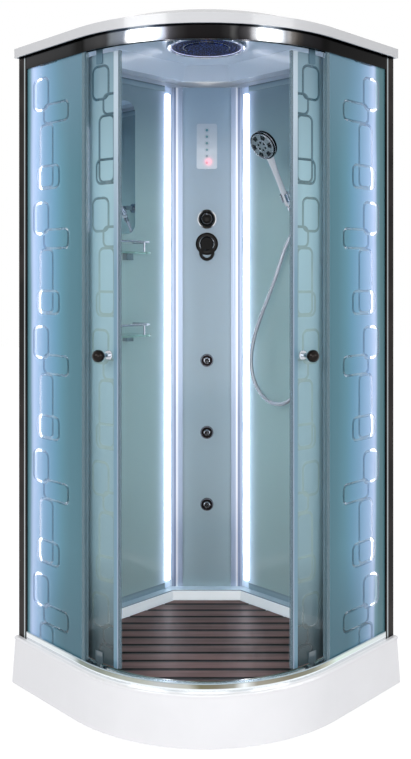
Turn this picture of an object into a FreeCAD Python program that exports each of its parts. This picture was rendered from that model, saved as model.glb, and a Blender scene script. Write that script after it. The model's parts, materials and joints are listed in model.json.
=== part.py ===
import FreeCAD, Part
import math
import os
import Sketcher

# Quadrant steam shower cabin, built as separate pieces in millimetres.
# Frame: X to the right seen from the entry, Y away from the viewer, Z up, and
# the origin on the floor in the middle of the cabin's bounding box.
# Wall pieces are drawn in the corner frame: its origin is the wall corner, u
# runs along the left wall and v along the right wall. Door pieces are drawn
# about the vertical line through the centre of the curved front.

Vector = FreeCAD.Vector

# Driving dimensions in millimetres, degrees and shares, in one group for each piece.
SIZES = {
    # Plan of the cabin
    "side": 900, "bow_radius": 550, "total_height": 2150, "fit_clearance": 0.3, "overrun": 2,
    # Tray
    "tray_top": 150, "tray_rim_thickness": 8, "tray_wall": 5, "tray_edge_round": 6,
    "bowl_front_inset": 62, "bowl_wall_inset": 58, "bowl_cut": 300, "bowl_depth": 58, "bowl_taper": 14,
    "bowl_corner": 40, "lip_inset": 8, "lip_thickness": 5, "lip_height": 30,
    "drain_radius": 45, "drain_from_corner": 470,
    # Skirt
    "skirt_ground_gap": 3, "skirt_thickness": 5, "skirt_flare": 12, "skirt_start": 6,
    "skirt_tab": 18, "skirt_tab_height": 16,
    # Frame under the tray and its feet
    "frame_tube": 25, "frame_inset": 92, "frame_front_share": 0.78, "frame_brace_share": 0.36,
    "foot_radius": 20, "foot_height": 9, "rod_radius": 6, "nut_radius": 11, "nut_height": 8,
    # Waste trap and drain cover
    "trap_radius": 50, "trap_height": 74, "trap_flange": 58, "trap_flange_height": 4,
    "outlet_radius": 20, "outlet_neck_radius": 18, "outlet_bore": 16, "outlet_reach": 190,
    "spigot_length": 50, "trap_turn": 30,
    "cover_radius": 56, "cover_height": 4, "cover_slot_length": 27, "cover_slot_width": 6,
    "cover_neck": 36, "cover_neck_height": 7, "cover_slots": 6,
    # Slatted floor
    "slat_thickness": 12, "bearer_height": 12, "slat_pitch": 60, "slat_gap": 6, "slat_margin": 3,
    "bearer_width": 40, "bearer_spacing": 270, "bearer_inset": 34, "bearer_front_step": 110,
    "bearer_back_step": 175,
    # Curved rails
    "rail_inset": 15, "rail_web": 3, "bottom_rail_depth": 46, "bottom_rail_height": 25,
    "top_rail_height": 66, "top_rail_depth": 40,
    "track_height": 10, "track_thickness": 4, "track_depth": 29,
    "groove_lip_height": 12, "guide_lip_offset": 23, "inner_web_height": 12,
    # Corner posts
    "post_width": 44, "post_depth": 34, "post_start": 5.3, "post_wall": 2.5, "post_slot": 12,
    # Fixed glass and its seals
    "fixed_inset": 20, "fixed_thickness": 6, "fixed_glass_angle": 44, "fixed_lift": 4,
    "seal_width": 12, "seal_wall": 2, "seal_fin": 5,
    # Doors
    "door_inset": 49, "door_thickness": 6, "door_open_angle": 30.4, "door_sweep": 46,
    "door_rail_gap": 7, "stile_width": 15, "stile_depth": 15,
    "door_seal_width": 7, "door_seal_depth": 9, "door_meeting_gap": 1.5,
    "knob_angle": 5.2, "knob_height": 1106, "knob_radius": 19, "knob_base_radius": 15,
    "knob_base_height": 5, "knob_neck_radius": 7, "knob_neck_height": 22, "knob_hole_radius": 7,
    "knob_back_radius": 10.5,
    # Door hangers, rollers and guides
    "front_hanger_angle": 9.5, "rear_hanger_angle": 21, "hanger_width": 26, "hanger_thickness": 3,
    "hanger_drop": 30, "hanger_rise": 12, "roller_radius": 11.5, "roller_width": 8, "roller_inset": 28,
    "roller_flange": 2, "axle_radius": 3, "axle_clearance": 0.05,
    "axle_head_radius": 4.5, "axle_head_height": 1.5,
    "hanger_cap_radius": 9, "hanger_cap_height": 4, "hanger_bolt_radius": 4, "hanger_hole_radius": 5,
    "guide_width": 30, "guide_height": 34, "guide_thickness": 4, "guide_finger": 14,
    # Wall panels
    "wall_inset": 20, "wall_thickness": 5, "wall_lap": 4, "trim_height": 22, "trim_thickness": 2,
    # Column in the corner
    "column_depth": 170, "column_width": 214, "column_thickness": 4,
    "column_edge_depth": 14, "column_edge_wall": 2,
    # Light strips
    "strip_width": 24, "strip_depth": 9, "strip_column_gap": 14, "strip_post_gap": 16,
    # Roof
    "roof_rise": 84, "roof_lap": 24, "roof_rim_height": 30, "roof_wall": 5, "dome_inset": 62,
    "dome_run": 90, "dome_wall_run": 60, "roof_cut": 250,
    # Round ceiling shower
    "rain_radius": 138, "rain_ring_width": 16, "rain_ring_height": 12, "rain_plate_thickness": 8,
    "rain_step_radius": 79, "rain_step_height": 5, "rain_gap": 1, "rain_centre": 10,
    "rain_lip_share": 0.7, "rain_edge_share": 0.4,
    # Control panel
    "control_width": 78, "control_height": 174, "control_thickness": 9, "control_drop": 224,
    "control_round": 8, "key_radius": 5.5, "key_rise": 0.8, "key_pitch": 25, "key_top_offset": 62,
    "key_count": 6,
    "box_width": 110, "box_height": 190, "box_depth": 42, "box_gap": 8,
    # Valves
    "diverter_drop": 503, "mixer_drop": 598, "escutcheon_thickness": 5,
    "diverter_plate_radius": 37, "mixer_plate_radius": 43, "spindle_radius": 12, "spindle_hole": 17,
    "spindle_reach": 12, "handle_gap": 0.3, "handle_bore_clearance": 0.06,
    "diverter_radius": 29, "diverter_height_out": 24, "diverter_mark": 2,
    "cap_radius": 27, "cap_height": 30, "lever_outer_radius": 29, "lever_inner_radius": 17,
    "lever_thickness": 9, "lever_drop": 37, "lever_slot_width": 14, "lever_slot_height": 18,
    "lever_slot_depth": 15, "lever_slot_low_share": 0.45, "lever_tongue_share": 0.28,
    "lever_pin_radius": 2.5, "lever_pin_depth": 10,
    "valve_radius": 24, "valve_depth": 44, "valve_bridge": 13,
    # Body jets
    "jet_low": 465, "jet_pitch": 277, "jet_ring_radius": 25, "jet_ring_height": 6,
    "jet_ball_radius": 16, "jet_face_radius": 12, "jet_face_height": 7, "jet_housing_radius": 21,
    "jet_housing_depth": 30, "jet_hole": 22, "jet_ball_inset": 5, "jet_neck_share": 0.75, "jet_pin_radius": 2,
    "jet_pin_length": 2.5,
    # Water pipes behind the column
    "pipe_radius": 7, "inlet_spread": 75, "inlet_drop": 836, "nipple_radius": 10.4,
    "nipple_length": 16, "inlet_back": 44, "riser_lift": 44, "riser_shift": 72,
    "pipe_bend": 18,
    # Hand shower on the right wall
    "holder_place": 490, "holder_drop": 426, "holder_base_radius": 20, "holder_base_height": 8,
    "holder_arm_radius": 9, "holder_arm_length": 36, "cup_radius": 17, "cup_bore": 12.4,
    "cup_gap_share": 0.6, "cup_height": 30,
    "cup_pin_radius": 4, "cup_pin_length": 12, "hand_tilt": 33, "handle_radius": 12,
    "handle_top_radius": 10, "handle_length": 150, "head_radius": 56, "head_depth": 26, "head_rim": 5,
    "head_back_share": 0.6,
    "head_step_share": 0.5, "head_waist_share": 0.75, "head_crown_share": 0.3,
    "head_tip": 48, "face_radius": 49, "face_height": 5, "face_edge_share": 0.6,
    "face_pin_radius": 6, "face_pin_height": 8,
    # Hose
    "hose_radius": 7, "hose_bend_share": 0.45, "outlet_place": 600, "outlet_drop": 666,
    "outlet_base_radius": 27,
    "outlet_base_height": 7, "outlet_arm": 40, "outlet_arm_radius": 11, "outlet_bend": 16.5,
    "shank_collar_radius": 12, "shank_neck_radius": 8, "shank_step": 1,
    "hose_nut_radius": 10,
    "hose_nut_length": 22,
    # Shelves and mirror on the left wall
    "shelf_start": 400, "shelf_length": 300, "shelf_depth": 120, "shelf_thickness": 6,
    "shelf_round": 50, "lower_shelf_drop": 938, "upper_shelf_drop": 642, "gallery_rise": 36,
    "gallery_radius": 4, "gallery_inset": 9, "bracket_width": 30, "bracket_height": 22,
    "bracket_depth": 26, "bracket_inset": 45,
    "mirror_start": 404, "mirror_length": 296, "mirror_drop": 80, "mirror_height": 488,
    "mirror_round": 40, "mirror_thickness": 5, "mirror_gap": 0.3,
    # Screws in the posts
    "screw_radius": 4, "screw_head_height": 2, "screw_margin": 130, "screw_rows": 4,
}


class Size:
    """A number together with the expression that gives it from the sheet."""

    def __init__(self, value, text):
        self.value = float(value)
        self.text = text

    def __add__(self, other):
        other = as_size(other)
        return Size(self.value + other.value, "(%s + %s)" % (self.text, other.text))

    def __radd__(self, other):
        return as_size(other) + self

    def __sub__(self, other):
        other = as_size(other)
        return Size(self.value - other.value, "(%s - %s)" % (self.text, other.text))

    def __rsub__(self, other):
        return as_size(other) - self

    def __mul__(self, other):
        other = as_size(other)
        return Size(self.value * other.value, "(%s * %s)" % (self.text, other.text))

    def __rmul__(self, other):
        return as_size(other) * self

    def __truediv__(self, other):
        other = as_size(other)
        return Size(self.value / other.value, "(%s / %s)" % (self.text, other.text))

    def __neg__(self):
        return Size(-self.value, "(0 - %s)" % self.text)

    def root(self):
        return Size(math.sqrt(self.value), "sqrt(%s)" % self.text)


def as_size(number):
    """Turns a plain factor into a size that no cell drives."""
    if isinstance(number, Size):
        return number
    return Size(number, repr(number))


def sine(angle):
    angle = as_size(angle)
    return Size(math.sin(math.radians(angle.value)), "sin(%s)" % angle.text)


def cosine(angle):
    angle = as_size(angle)
    return Size(math.cos(math.radians(angle.value)), "cos(%s)" % angle.text)


class Sheet:
    """The spreadsheet of driving dimensions, read as attributes."""

    def __init__(self, document, sizes):
        self.sheet = document.addObject("Spreadsheet::Sheet", "Sizes")
        for row, (alias, number) in enumerate(sizes.items(), start=1):
            cell = "A%d" % row
            self.sheet.set(cell, str(number))
            self.sheet.setAlias(cell, alias)
        document.recompute()

    def __getattr__(self, alias):
        return Size(float(getattr(self.sheet, alias)), "Sizes." + alias)


doc = FreeCAD.newDocument("shower_cabin")
s = Sheet(doc, SIZES)
NODES = []

DIAGONAL = as_size(2).root()
HALF_DIAGONAL = as_size(0.5).root()
RIGHT_ANGLE = 90
HALF_TURN = 180
FULL_TURN = 360

# Shared places

bow_centre = s.side - s.bow_radius
corner_reach = bow_centre * DIAGONAL
centre_y = (s.bow_radius + s.skirt_flare - corner_reach) / 2
corner_y = centre_y + corner_reach
door_outer = s.bow_radius - s.door_inset
door_inner = door_outer - s.door_thickness
rail_start = s.post_start + s.post_width + s.fit_clearance
fixed_inner_inset = s.fixed_inset + s.fixed_thickness
lip_offset = fixed_inner_inset - s.rail_inset + s.fit_clearance
roof_base = s.total_height - s.roof_rise
top_rail_base = roof_base + s.roof_lap - s.top_rail_height
wall_top = roof_base + s.wall_lap
control_centre = roof_base - s.control_drop
diverter_height = roof_base - s.diverter_drop
mixer_height = roof_base - s.mixer_drop
inlet_height = roof_base - s.inlet_drop
holder_height = roof_base - s.holder_drop
outlet_height = roof_base - s.outlet_drop
mirror_base = roof_base - s.mirror_drop - s.mirror_height
track_base = top_rail_base + s.track_height
track_top = track_base + s.track_thickness
glass_bottom = s.tray_top + s.rail_web + s.fixed_lift
glass_top = track_base - s.fit_clearance
door_bottom = s.tray_top + s.rail_web + s.inner_web_height + s.door_rail_gap
door_top = top_rail_base - s.door_rail_gap
door_height = door_top - door_bottom
slat_top = s.tray_top - s.bowl_depth + s.bearer_height + s.slat_thickness
wall_face = s.wall_inset + s.wall_thickness
column_y = corner_y - s.column_depth
column_half = s.column_depth - wall_face * DIAGONAL
column_end = s.column_depth * DIAGONAL - wall_face
tray_floor = s.tray_top - s.bowl_depth
frame_base = tray_floor - s.tray_wall - s.frame_tube


# Frames

def place(thing, x=0, y=0, z=0, turn=0, axis=(0, 0, 1)):
    """Places an object, bound to the sheet, turned about one axis."""
    x, y, z, turn = as_size(x), as_size(y), as_size(z), as_size(turn)
    thing.Placement = FreeCAD.Placement(
        Vector(x.value, y.value, z.value), FreeCAD.Rotation(Vector(*axis), turn.value))
    bind(thing, "Placement.Base.x", x)
    bind(thing, "Placement.Base.y", y)
    bind(thing, "Placement.Base.z", z)
    if turn.value:
        bind(thing, "Placement.Rotation.Angle", turn)


def bind(thing, name, size):
    """Binds one property to the sheet."""
    if "Sizes." in size.text:
        thing.setExpression(name, size.text)


def node(label, kind="PartDesign::Body"):
    """Starts one sub-part, whose label names its file."""
    thing = doc.addObject(kind, label)
    thing.Label = label
    NODES.append(thing)
    return thing


CORNER_TURN = -135
CORNER = {"y": corner_y, "turn": CORNER_TURN}
BOW = {"y": centre_y}
COLUMN = {"y": column_y}


def body(label, frame, z=0):
    """Starts a body in one of the cabin's frames."""
    thing = node(label)
    place(thing, z=z, **frame)
    return thing


# Sketches

class Arc:
    """An arc edge in an outline: its centre and the way that it runs."""

    def __init__(self, x, y, anticlockwise=True):
        self.x = as_size(x)
        self.y = as_size(y)
        self.anticlockwise = anticlockwise


def sketch_on(owner, plane, offset=0, turn=0):
    """Starts a sketch on one of a body's own planes, moved along its normal."""
    sketch = owner.newObject("Sketcher::SketchObject", "%s_outline" % owner.Label)
    plane_feature = [f for f in owner.Origin.OriginFeatures if f.Role == plane + "_Plane"][0]
    sketch.AttachmentSupport = [(plane_feature, "")]
    sketch.MapMode = "FlatFace"
    offset = as_size(offset)
    sketch.AttachmentOffset = FreeCAD.Placement(
        Vector(0, 0, offset.value), FreeCAD.Rotation(Vector(0, 0, 1), turn))
    bind(sketch, "AttachmentOffset.Base.z", offset)
    return sketch


def fix(sketch, rules, geometry, point, x, y):
    """Adds the rules that hold one point of a sketch at a place."""
    if x is not None:
        rules.append((Sketcher.Constraint("DistanceX", -1, 1, geometry, point, x.value), x))
    if y is not None:
        rules.append((Sketcher.Constraint("DistanceY", -1, 1, geometry, point, y.value), y))


def apply_rules(sketch, rules):
    """Adds the rules in one step and binds each to its size."""
    first = len(sketch.Constraints)
    sketch.addConstraint([rule for rule, size in rules])
    for index, (rule, size) in enumerate(rules, start=first):
        if size is not None:
            bind(sketch, "Constraints[%d]" % index, size)


def outline(sketch, items, closed=True):
    """Draws lines and arcs through points; an Arc between two points bends that edge."""
    points = []
    arcs = {}
    for item in items:
        if isinstance(item, Arc):
            arcs[len(points) - 1] = item
        else:
            points.append((as_size(item[0]), as_size(item[1])))
    first = len(sketch.Geometry)
    edge_count = len(points) if closed else len(points) - 1
    shapes = []
    for index in range(edge_count):
        start = points[index]
        end = points[(index + 1) % len(points)]
        here = Vector(start[0].value, start[1].value, 0)
        there = Vector(end[0].value, end[1].value, 0)
        if index in arcs:
            shapes.append(arc_shape(arcs[index], here, there))
        else:
            shapes.append(Part.LineSegment(here, there))
    sketch.addGeometry(shapes, False)
    rules = []
    for index in range(edge_count):
        geometry = first + index
        arc = arcs.get(index)
        start_point, end_point = (1, 2) if arc is None or arc.anticlockwise else (2, 1)
        fix(sketch, rules, geometry, start_point, *points[index])
        if arc is not None:
            chord = (points[(index + 1) % len(points)][0] - points[index][0],
                     points[(index + 1) % len(points)][1] - points[index][1])
            upright = abs(chord[1].value) > abs(chord[0].value)
            fix(sketch, rules, geometry, 3, arc.x if upright else None, None if upright else arc.y)
        if index + 1 < edge_count or closed:
            after = first + (index + 1) % edge_count
            next_arc = arcs.get((index + 1) % len(points))
            next_start = 1 if next_arc is None or next_arc.anticlockwise else 2
            rules.append((Sketcher.Constraint("Coincident", geometry, end_point, after, next_start), None))
        else:
            fix(sketch, rules, geometry, end_point, *points[-1])
    apply_rules(sketch, rules)


def arc_shape(arc, here, there):
    """The arc from one point to another about its centre."""
    centre = Vector(arc.x.value, arc.y.value, 0)
    start, end = (here, there) if arc.anticlockwise else (there, here)
    radius = (start - centre).Length
    first = math.atan2(start.y - centre.y, start.x - centre.x)
    last = math.atan2(end.y - centre.y, end.x - centre.x)
    return Part.ArcOfCircle(Part.Circle(centre, Vector(0, 0, 1), radius), first, last)


def circle(sketch, x, y, radius):
    """Draws a full circle."""
    x, y, radius = as_size(x), as_size(y), as_size(radius)
    geometry = len(sketch.Geometry)
    sketch.addGeometry(Part.Circle(Vector(x.value, y.value, 0), Vector(0, 0, 1), radius.value), False)
    rules = []
    fix(sketch, rules, geometry, 3, x, y)
    rules.append((Sketcher.Constraint("Radius", geometry, radius.value), radius))
    apply_rules(sketch, rules)


def box_points(x0, y0, x1, y1):
    """The four corners of an upright rectangle."""
    return [(x0, y0), (x1, y0), (x1, y1), (x0, y1)]


def rounded_points(x0, y0, x1, y1, radius):
    """An upright rectangle with round corners."""
    return [(x0 + radius, y0), (x1 - radius, y0), Arc(x1 - radius, y0 + radius), (x1, y0 + radius),
            (x1, y1 - radius), Arc(x1 - radius, y1 - radius), (x1 - radius, y1),
            (x0 + radius, y1), Arc(x0 + radius, y1 - radius), (x0, y1 - radius),
            (x0, y0 + radius), Arc(x0 + radius, y0 + radius)]


# Features

def pad(owner, sketch, length, both=False, back=False, taper=0):
    """Pads a sketch along its normal."""
    return extrude("PartDesign::Pad", owner, sketch, length, both, back, taper)


def pocket(owner, sketch, length, both=False, back=False, taper=0):
    """Cuts a sketch against its normal, or along it when back is set."""
    return extrude("PartDesign::Pocket", owner, sketch, length, both, back, taper)


def extrude(kind, owner, sketch, length, both, back, taper):
    feature = owner.newObject(kind, "%s_%s" % (owner.Label, kind.split("::")[1].lower()))
    length = as_size(length)
    feature.Profile = sketch
    feature.Length = length.value
    bind(feature, "Length", length)
    feature.Midplane = both
    feature.Reversed = back
    taper = as_size(taper)
    if taper.value:
        feature.TaperAngle = taper.value
        bind(feature, "TaperAngle", taper)
    sketch.Visibility = False
    return feature


def revolve(owner, sketch, axis="Y", cut=False):
    """Turns a sketch a full turn about one of the body's axes."""
    kind = "PartDesign::Groove" if cut else "PartDesign::Revolution"
    feature = owner.newObject(kind, "%s_turned" % owner.Label)
    feature.Profile = sketch
    axis_feature = [f for f in owner.Origin.OriginFeatures if f.Role == axis + "_Axis"][0]
    feature.ReferenceAxis = (axis_feature, [""])
    feature.Angle = FULL_TURN
    return feature


def follow(owner, sketch, path):
    """Sweeps a section along a path."""
    feature = owner.newObject("PartDesign::AdditivePipe", "%s_swept" % owner.Label)
    feature.Profile = sketch
    feature.Spine = path
    return feature


def loft(owner, sketches, cut=False):
    """Rules a skin from one outline to the next."""
    kind = "PartDesign::SubtractiveLoft" if cut else "PartDesign::AdditiveLoft"
    feature = owner.newObject(kind, "%s_lofted" % owner.Label)
    feature.Profile = sketches[0]
    feature.Sections = sketches[1:]
    feature.Ruled = True
    return feature


def repeat_line(owner, feature, sketch, axis, length, count):
    """Repeats a feature evenly along one axis of its sketch."""
    pattern = owner.newObject("PartDesign::LinearPattern", "%s_row" % owner.Label)
    pattern.Originals = [feature]
    pattern.Direction = (sketch, [axis])
    length = as_size(length)
    pattern.Length = length.value
    bind(pattern, "Length", length)
    pattern.Occurrences = int(count)
    owner.Tip = pattern
    return pattern


def repeat_round(owner, feature, axis, count):
    """Repeats a feature round one of the body's axes."""
    pattern = owner.newObject("PartDesign::PolarPattern", "%s_round" % owner.Label)
    pattern.Originals = [feature]
    axis_feature = [f for f in owner.Origin.OriginFeatures if f.Role == axis + "_Axis"][0]
    pattern.Axis = (axis_feature, [""])
    pattern.Angle = FULL_TURN
    pattern.Occurrences = int(count)
    owner.Tip = pattern
    return pattern


def round_edges(owner, feature, radius, chosen):
    """Rounds the edges of a feature that a test picks."""
    doc.recompute()
    names = ["Edge%d" % (index + 1) for index, edge in enumerate(feature.Shape.Edges) if chosen(edge)]
    fillet = owner.newObject("PartDesign::Fillet", "%s_rounded" % owner.Label)
    fillet.Base = (feature, names)
    fillet.Radius = radius.value
    bind(fillet, "Radius", radius)
    return fillet


def mirror(label, source):
    """Makes the piece on the other side of the cabin's middle plane."""
    thing = node(label, "Part::Mirroring")
    thing.Source = source
    thing.Base = Vector(0, 0, 0)
    thing.Normal = Vector(1, 0, 0)
    return thing


# Outlines in plan

def quadrant(inset, wall):
    """The cabin's plan, drawn in from the front and from the walls."""
    edge = s.side - inset
    return [(wall, wall), (edge, wall), (edge, bow_centre), Arc(bow_centre, bow_centre),
            (bow_centre, edge), (wall, edge)]


def cut_quadrant(inset, wall, cut):
    """The cabin's plan with its wall corner cut off."""
    edge = s.side - inset
    return [(cut - wall, wall), (edge, wall), (edge, bow_centre), Arc(bow_centre, bow_centre),
            (bow_centre, edge), (wall, edge), (wall, cut - wall)]


def front_band(outer, inner, start):
    """A band along the open front, between two insets."""
    far = s.side - outer
    near = s.side - inner
    return [(far, start), (far, bow_centre), Arc(bow_centre, bow_centre), (bow_centre, far),
            (start, far), (start, near), (bow_centre, near), Arc(bow_centre, bow_centre, False),
            (near, bow_centre), (near, start)]


def door_point(radius, angle):
    """A point of the door's plan, its angle counted from the middle of the front."""
    return (radius * sine(angle), -radius * cosine(angle))


def door_band(outer, inner, first, last):
    """A curved band of the door's plan between two angles."""
    return [door_point(inner, first), door_point(outer, first), Arc(0, 0), door_point(outer, last),
            door_point(inner, last), Arc(0, 0, False)]


# Tray and what stands under it

def make_tray():
    """The white tray: rim, tapered bowl, drain hole and a lip that carries the skirt."""
    tray = body("tray", CORNER)
    rim_under = s.tray_top - s.tray_rim_thickness
    rim = sketch_on(tray, "XY", rim_under)
    outline(rim, quadrant(0, 0))
    pad(tray, rim, s.tray_rim_thickness)
    outer = sketch_on(tray, "XY", rim_under)
    outline(outer, bowl_outline(-s.tray_wall))
    pad(tray, outer, s.bowl_depth + s.tray_wall - s.tray_rim_thickness, back=True, taper=-s.bowl_taper)
    lip = sketch_on(tray, "XY", rim_under - s.lip_height)
    outline(lip, quadrant(s.lip_inset, s.lip_inset))
    outline(lip, quadrant(s.lip_inset + s.lip_thickness, s.lip_inset + s.lip_thickness))
    pad(tray, lip, s.lip_height)
    bowl = sketch_on(tray, "XY", s.tray_top)
    outline(bowl, bowl_outline(as_size(0)))
    pocket(tray, bowl, s.bowl_depth, taper=-s.bowl_taper)
    drain = sketch_on(tray, "XY", s.tray_top)
    circle(drain, s.drain_from_corner, s.drain_from_corner, s.drain_radius)
    last = pocket(tray, drain, s.bowl_depth + s.tray_wall + s.overrun)
    round_edges(tray, last, s.tray_edge_round, top_rim_edges)


def top_rim_edges(edge):
    """Picks the outer edges of the tray's rim."""
    side = s.side.value
    near = s.fit_clearance.value
    box = edge.BoundBox
    if abs(box.ZMin - s.tray_top.value) > near or abs(box.ZMax - s.tray_top.value) > near:
        return False
    middle = edge.valueAt((edge.FirstParameter + edge.LastParameter) / 2)
    on_side = max(abs(middle.x - side), abs(middle.y - side)) < near
    arc_centre = Vector(bow_centre.value, bow_centre.value, middle.z)
    on_bow = abs((middle - arc_centre).Length - s.bow_radius.value) < near
    return on_side or (on_bow and middle.x > bow_centre.value and middle.y > bow_centre.value)


def bowl_outline(inset):
    """The bowl's plan, drawn in: round corners at the posts and a cut corner below the column."""
    edge = s.side - s.bowl_front_inset - inset
    wall = s.bowl_wall_inset + inset
    cut = s.bowl_cut + inset * DIAGONAL
    turn = s.bowl_corner
    return [(cut - wall, wall), (edge - turn, wall), Arc(edge - turn, wall + turn),
            (edge, wall + turn), (edge, bow_centre), Arc(bow_centre, bow_centre), (bow_centre, edge),
            (wall + turn, edge), Arc(wall + turn, edge - turn), (wall, edge - turn),
            (wall, cut - wall)]


def make_skirt():
    """The flared front skirt, open at the back, with tabs that hold it to the frame."""
    skirt = body("tray_skirt", CORNER)
    top = s.tray_top - s.tray_rim_thickness - s.fit_clearance
    low = sketch_on(skirt, "XY", s.skirt_ground_gap)
    outline(low, front_band(-s.skirt_flare, s.skirt_thickness - s.skirt_flare, s.skirt_start))
    high = sketch_on(skirt, "XY", top)
    outline(high, front_band(0, s.skirt_thickness, s.skirt_start))
    loft(skirt, [low, high])
    tab = sketch_on(skirt, "XY", s.skirt_ground_gap)
    outline(tab, front_band(s.skirt_thickness / 2 - s.skirt_flare, s.skirt_tab, s.skirt_start))
    pad(skirt, tab, s.skirt_tab_height)
    return skirt


def make_frame():
    """The square steel tubes that carry the tray."""
    frame = body("support_frame", CORNER)
    start = s.frame_inset
    far = s.side - s.frame_inset
    tube = s.frame_tube
    plan = sketch_on(frame, "XY", frame_base)
    outline(plan, box_points(start, start, far, start + tube))
    pad(frame, plan, tube)
    side_tube = sketch_on(frame, "XY", frame_base)
    outline(side_tube, box_points(start, start, start + tube, far))
    pad(frame, side_tube, tube)
    middle = (start + far) * s.frame_brace_share
    brace = sketch_on(frame, "XY", frame_base)
    outline(brace, [(middle, start + tube), (start + tube, middle),
                    (start + tube, middle + tube * DIAGONAL),
                    (middle + tube * DIAGONAL, start + tube)])
    pad(frame, brace, tube)
    cross = far * s.frame_front_share
    half = tube * HALF_DIAGONAL
    front = sketch_on(frame, "XY", frame_base)
    outline(front, [(far - tube, start + tube), (far, start + tube), (cross + half, cross + half),
                    (start + tube, far), (start + tube, far - tube), (cross - half, cross - half)])
    pad(frame, front, tube)
    return frame


def foot_places():
    """Where the feet stand, in the corner frame."""
    near = s.frame_inset + s.frame_tube / 2
    far = s.side - s.frame_inset - s.frame_tube
    middle = (near + far) / 2
    front = (s.side - s.frame_inset) * s.frame_front_share
    return [(near, near), (far, near), (near, far), (middle, near), (near, middle), (front, front)]


def make_feet():
    """The levelling feet: pad, threaded rod and lock nut under each tube."""
    feet = body("levelling_feet", CORNER)
    pads = sketch_on(feet, "XY", 0)
    rods = sketch_on(feet, "XY", s.foot_height)
    nuts = sketch_on(feet, "XY", frame_base - s.nut_height)
    for x, y in foot_places():
        circle(pads, x, y, s.foot_radius)
        circle(rods, x, y, s.rod_radius)
        circle(nuts, x, y, s.nut_radius)
    pad(feet, pads, s.foot_height)
    pad(feet, rods, frame_base - s.foot_height)
    pad(feet, nuts, s.nut_height)
    return feet


def drain_y():
    """The drain's place on the cabin's middle line."""
    return corner_y - s.drain_from_corner * DIAGONAL


def make_trap():
    """The waste trap under the drain, with its outlet towards the left wall, below the frame."""
    trap = body("waste_trap", {"y": drain_y(), "turn": s.trap_turn}, z=tray_floor - s.tray_wall)
    profile = sketch_on(trap, "XZ")
    low = -s.trap_height
    wall = s.tray_wall
    outline(profile, [(0, low), (s.trap_radius, low), (s.trap_radius, -s.trap_flange_height),
                      (s.trap_flange, -s.trap_flange_height), (s.trap_flange, 0), (s.drain_radius, 0),
                      (s.drain_radius, low + wall), (0, low + wall)])
    revolve(trap, profile, "Z")
    pipe_height = low + s.outlet_radius + s.trap_flange_height / 2
    pipe = sketch_on(trap, "XZ")
    circle(pipe, 0, pipe_height, s.outlet_neck_radius)
    pad(trap, pipe, s.outlet_reach, back=True)
    spigot = sketch_on(trap, "XZ", s.spigot_length - s.outlet_reach)
    circle(spigot, 0, pipe_height, s.outlet_radius)
    pad(trap, spigot, s.spigot_length, back=True)
    bore = sketch_on(trap, "XZ")
    circle(bore, 0, pipe_height, s.outlet_bore)
    pocket(trap, bore, s.outlet_reach + s.overrun)
    inside = sketch_on(trap, "XY", low + wall)
    circle(inside, 0, 0, s.drain_radius)
    pocket(trap, inside, s.trap_height - wall + s.overrun, back=True)
    return trap


def make_drain_cover():
    """The slotted metal cover over the drain."""
    cover = body("drain_cover", {"y": drain_y()}, z=tray_floor)
    profile = sketch_on(cover, "XZ")
    outline(profile, [(0, 0), (s.cover_neck, 0), (s.cover_neck, -s.cover_neck_height),
                      (s.cover_neck + s.tray_wall, -s.cover_neck_height), (s.cover_neck + s.tray_wall, 0),
                      (s.cover_radius, 0), (s.cover_radius - s.cover_height / 2, s.cover_height),
                      (0, s.cover_height)])
    revolve(cover, profile, "Z")
    slot = sketch_on(cover, "XY", s.cover_height)
    gap = s.cover_neck - s.cover_slot_length
    half = s.cover_slot_width / 2
    outline(slot, box_points(gap, -half, s.cover_neck - s.overrun, half))
    cut = pocket(cover, slot, s.cover_height + s.overrun)
    repeat_round(cover, cut, "Z", s.cover_slots.value)
    return cover


def make_duckboard():
    """The wooden slatted floor: bearers below and slats across the bowl."""
    board = body("duckboard", CORNER)
    base = tray_floor
    shape = sketch_on(board, "XY", base + s.bearer_height)
    narrowing = (s.bowl_depth - s.bearer_height) * sine(s.bowl_taper) / cosine(s.bowl_taper)
    inset = narrowing + s.slat_margin
    outline(shape, bowl_outline(inset))
    pad(board, shape, s.slat_thickness)
    cut = sketch_on(board, "XY", slat_top, turn=-CORNER_TURN)
    reach = s.side
    depth = corner_reach + s.bow_radius - s.bowl_front_inset
    first = -depth + s.slat_pitch - s.slat_gap / 2
    rows = math.floor(((depth - s.bowl_cut * HALF_DIAGONAL) / s.slat_pitch).value)
    outline(cut, box_points(-reach, first, reach, first + s.slat_gap))
    gap = pocket(board, cut, s.slat_thickness)
    repeat_line(board, gap, cut, "V_Axis", s.slat_pitch * (rows - 1), rows)
    bearers = sketch_on(board, "XY", base, turn=-CORNER_TURN)
    half = s.bearer_width / 2
    floor_narrowing = s.bowl_depth * sine(s.bowl_taper) / cosine(s.bowl_taper)
    back = -(s.bowl_cut * HALF_DIAGONAL + floor_narrowing + s.slat_margin)
    ahead = s.bearer_inset - depth
    outline(bearers, box_points(-half, ahead, half, back))
    for side in (1, -1):
        middle = s.bearer_spacing * side
        outline(bearers, box_points(middle - half, ahead + s.bearer_front_step,
                                    middle + half, back - s.bearer_back_step))
    pad(board, bearers, s.bearer_height)
    hole = sketch_on(board, "XY", base + s.bearer_height)
    circle(hole, s.drain_from_corner, s.drain_from_corner, s.cover_radius + s.bearer_height / 2)
    pocket(board, hole, s.bearer_height)
    return board


# Rails, posts and glass

def rail_path(owner, inset, height):
    """The path that a rail follows round the open front."""
    path = sketch_on(owner, "XY", height)
    edge = s.side - inset
    outline(path, [(edge, rail_start), (edge, bow_centre), Arc(bow_centre, bow_centre),
                   (bow_centre, edge), (rail_start, edge)], closed=False)
    return path


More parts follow.
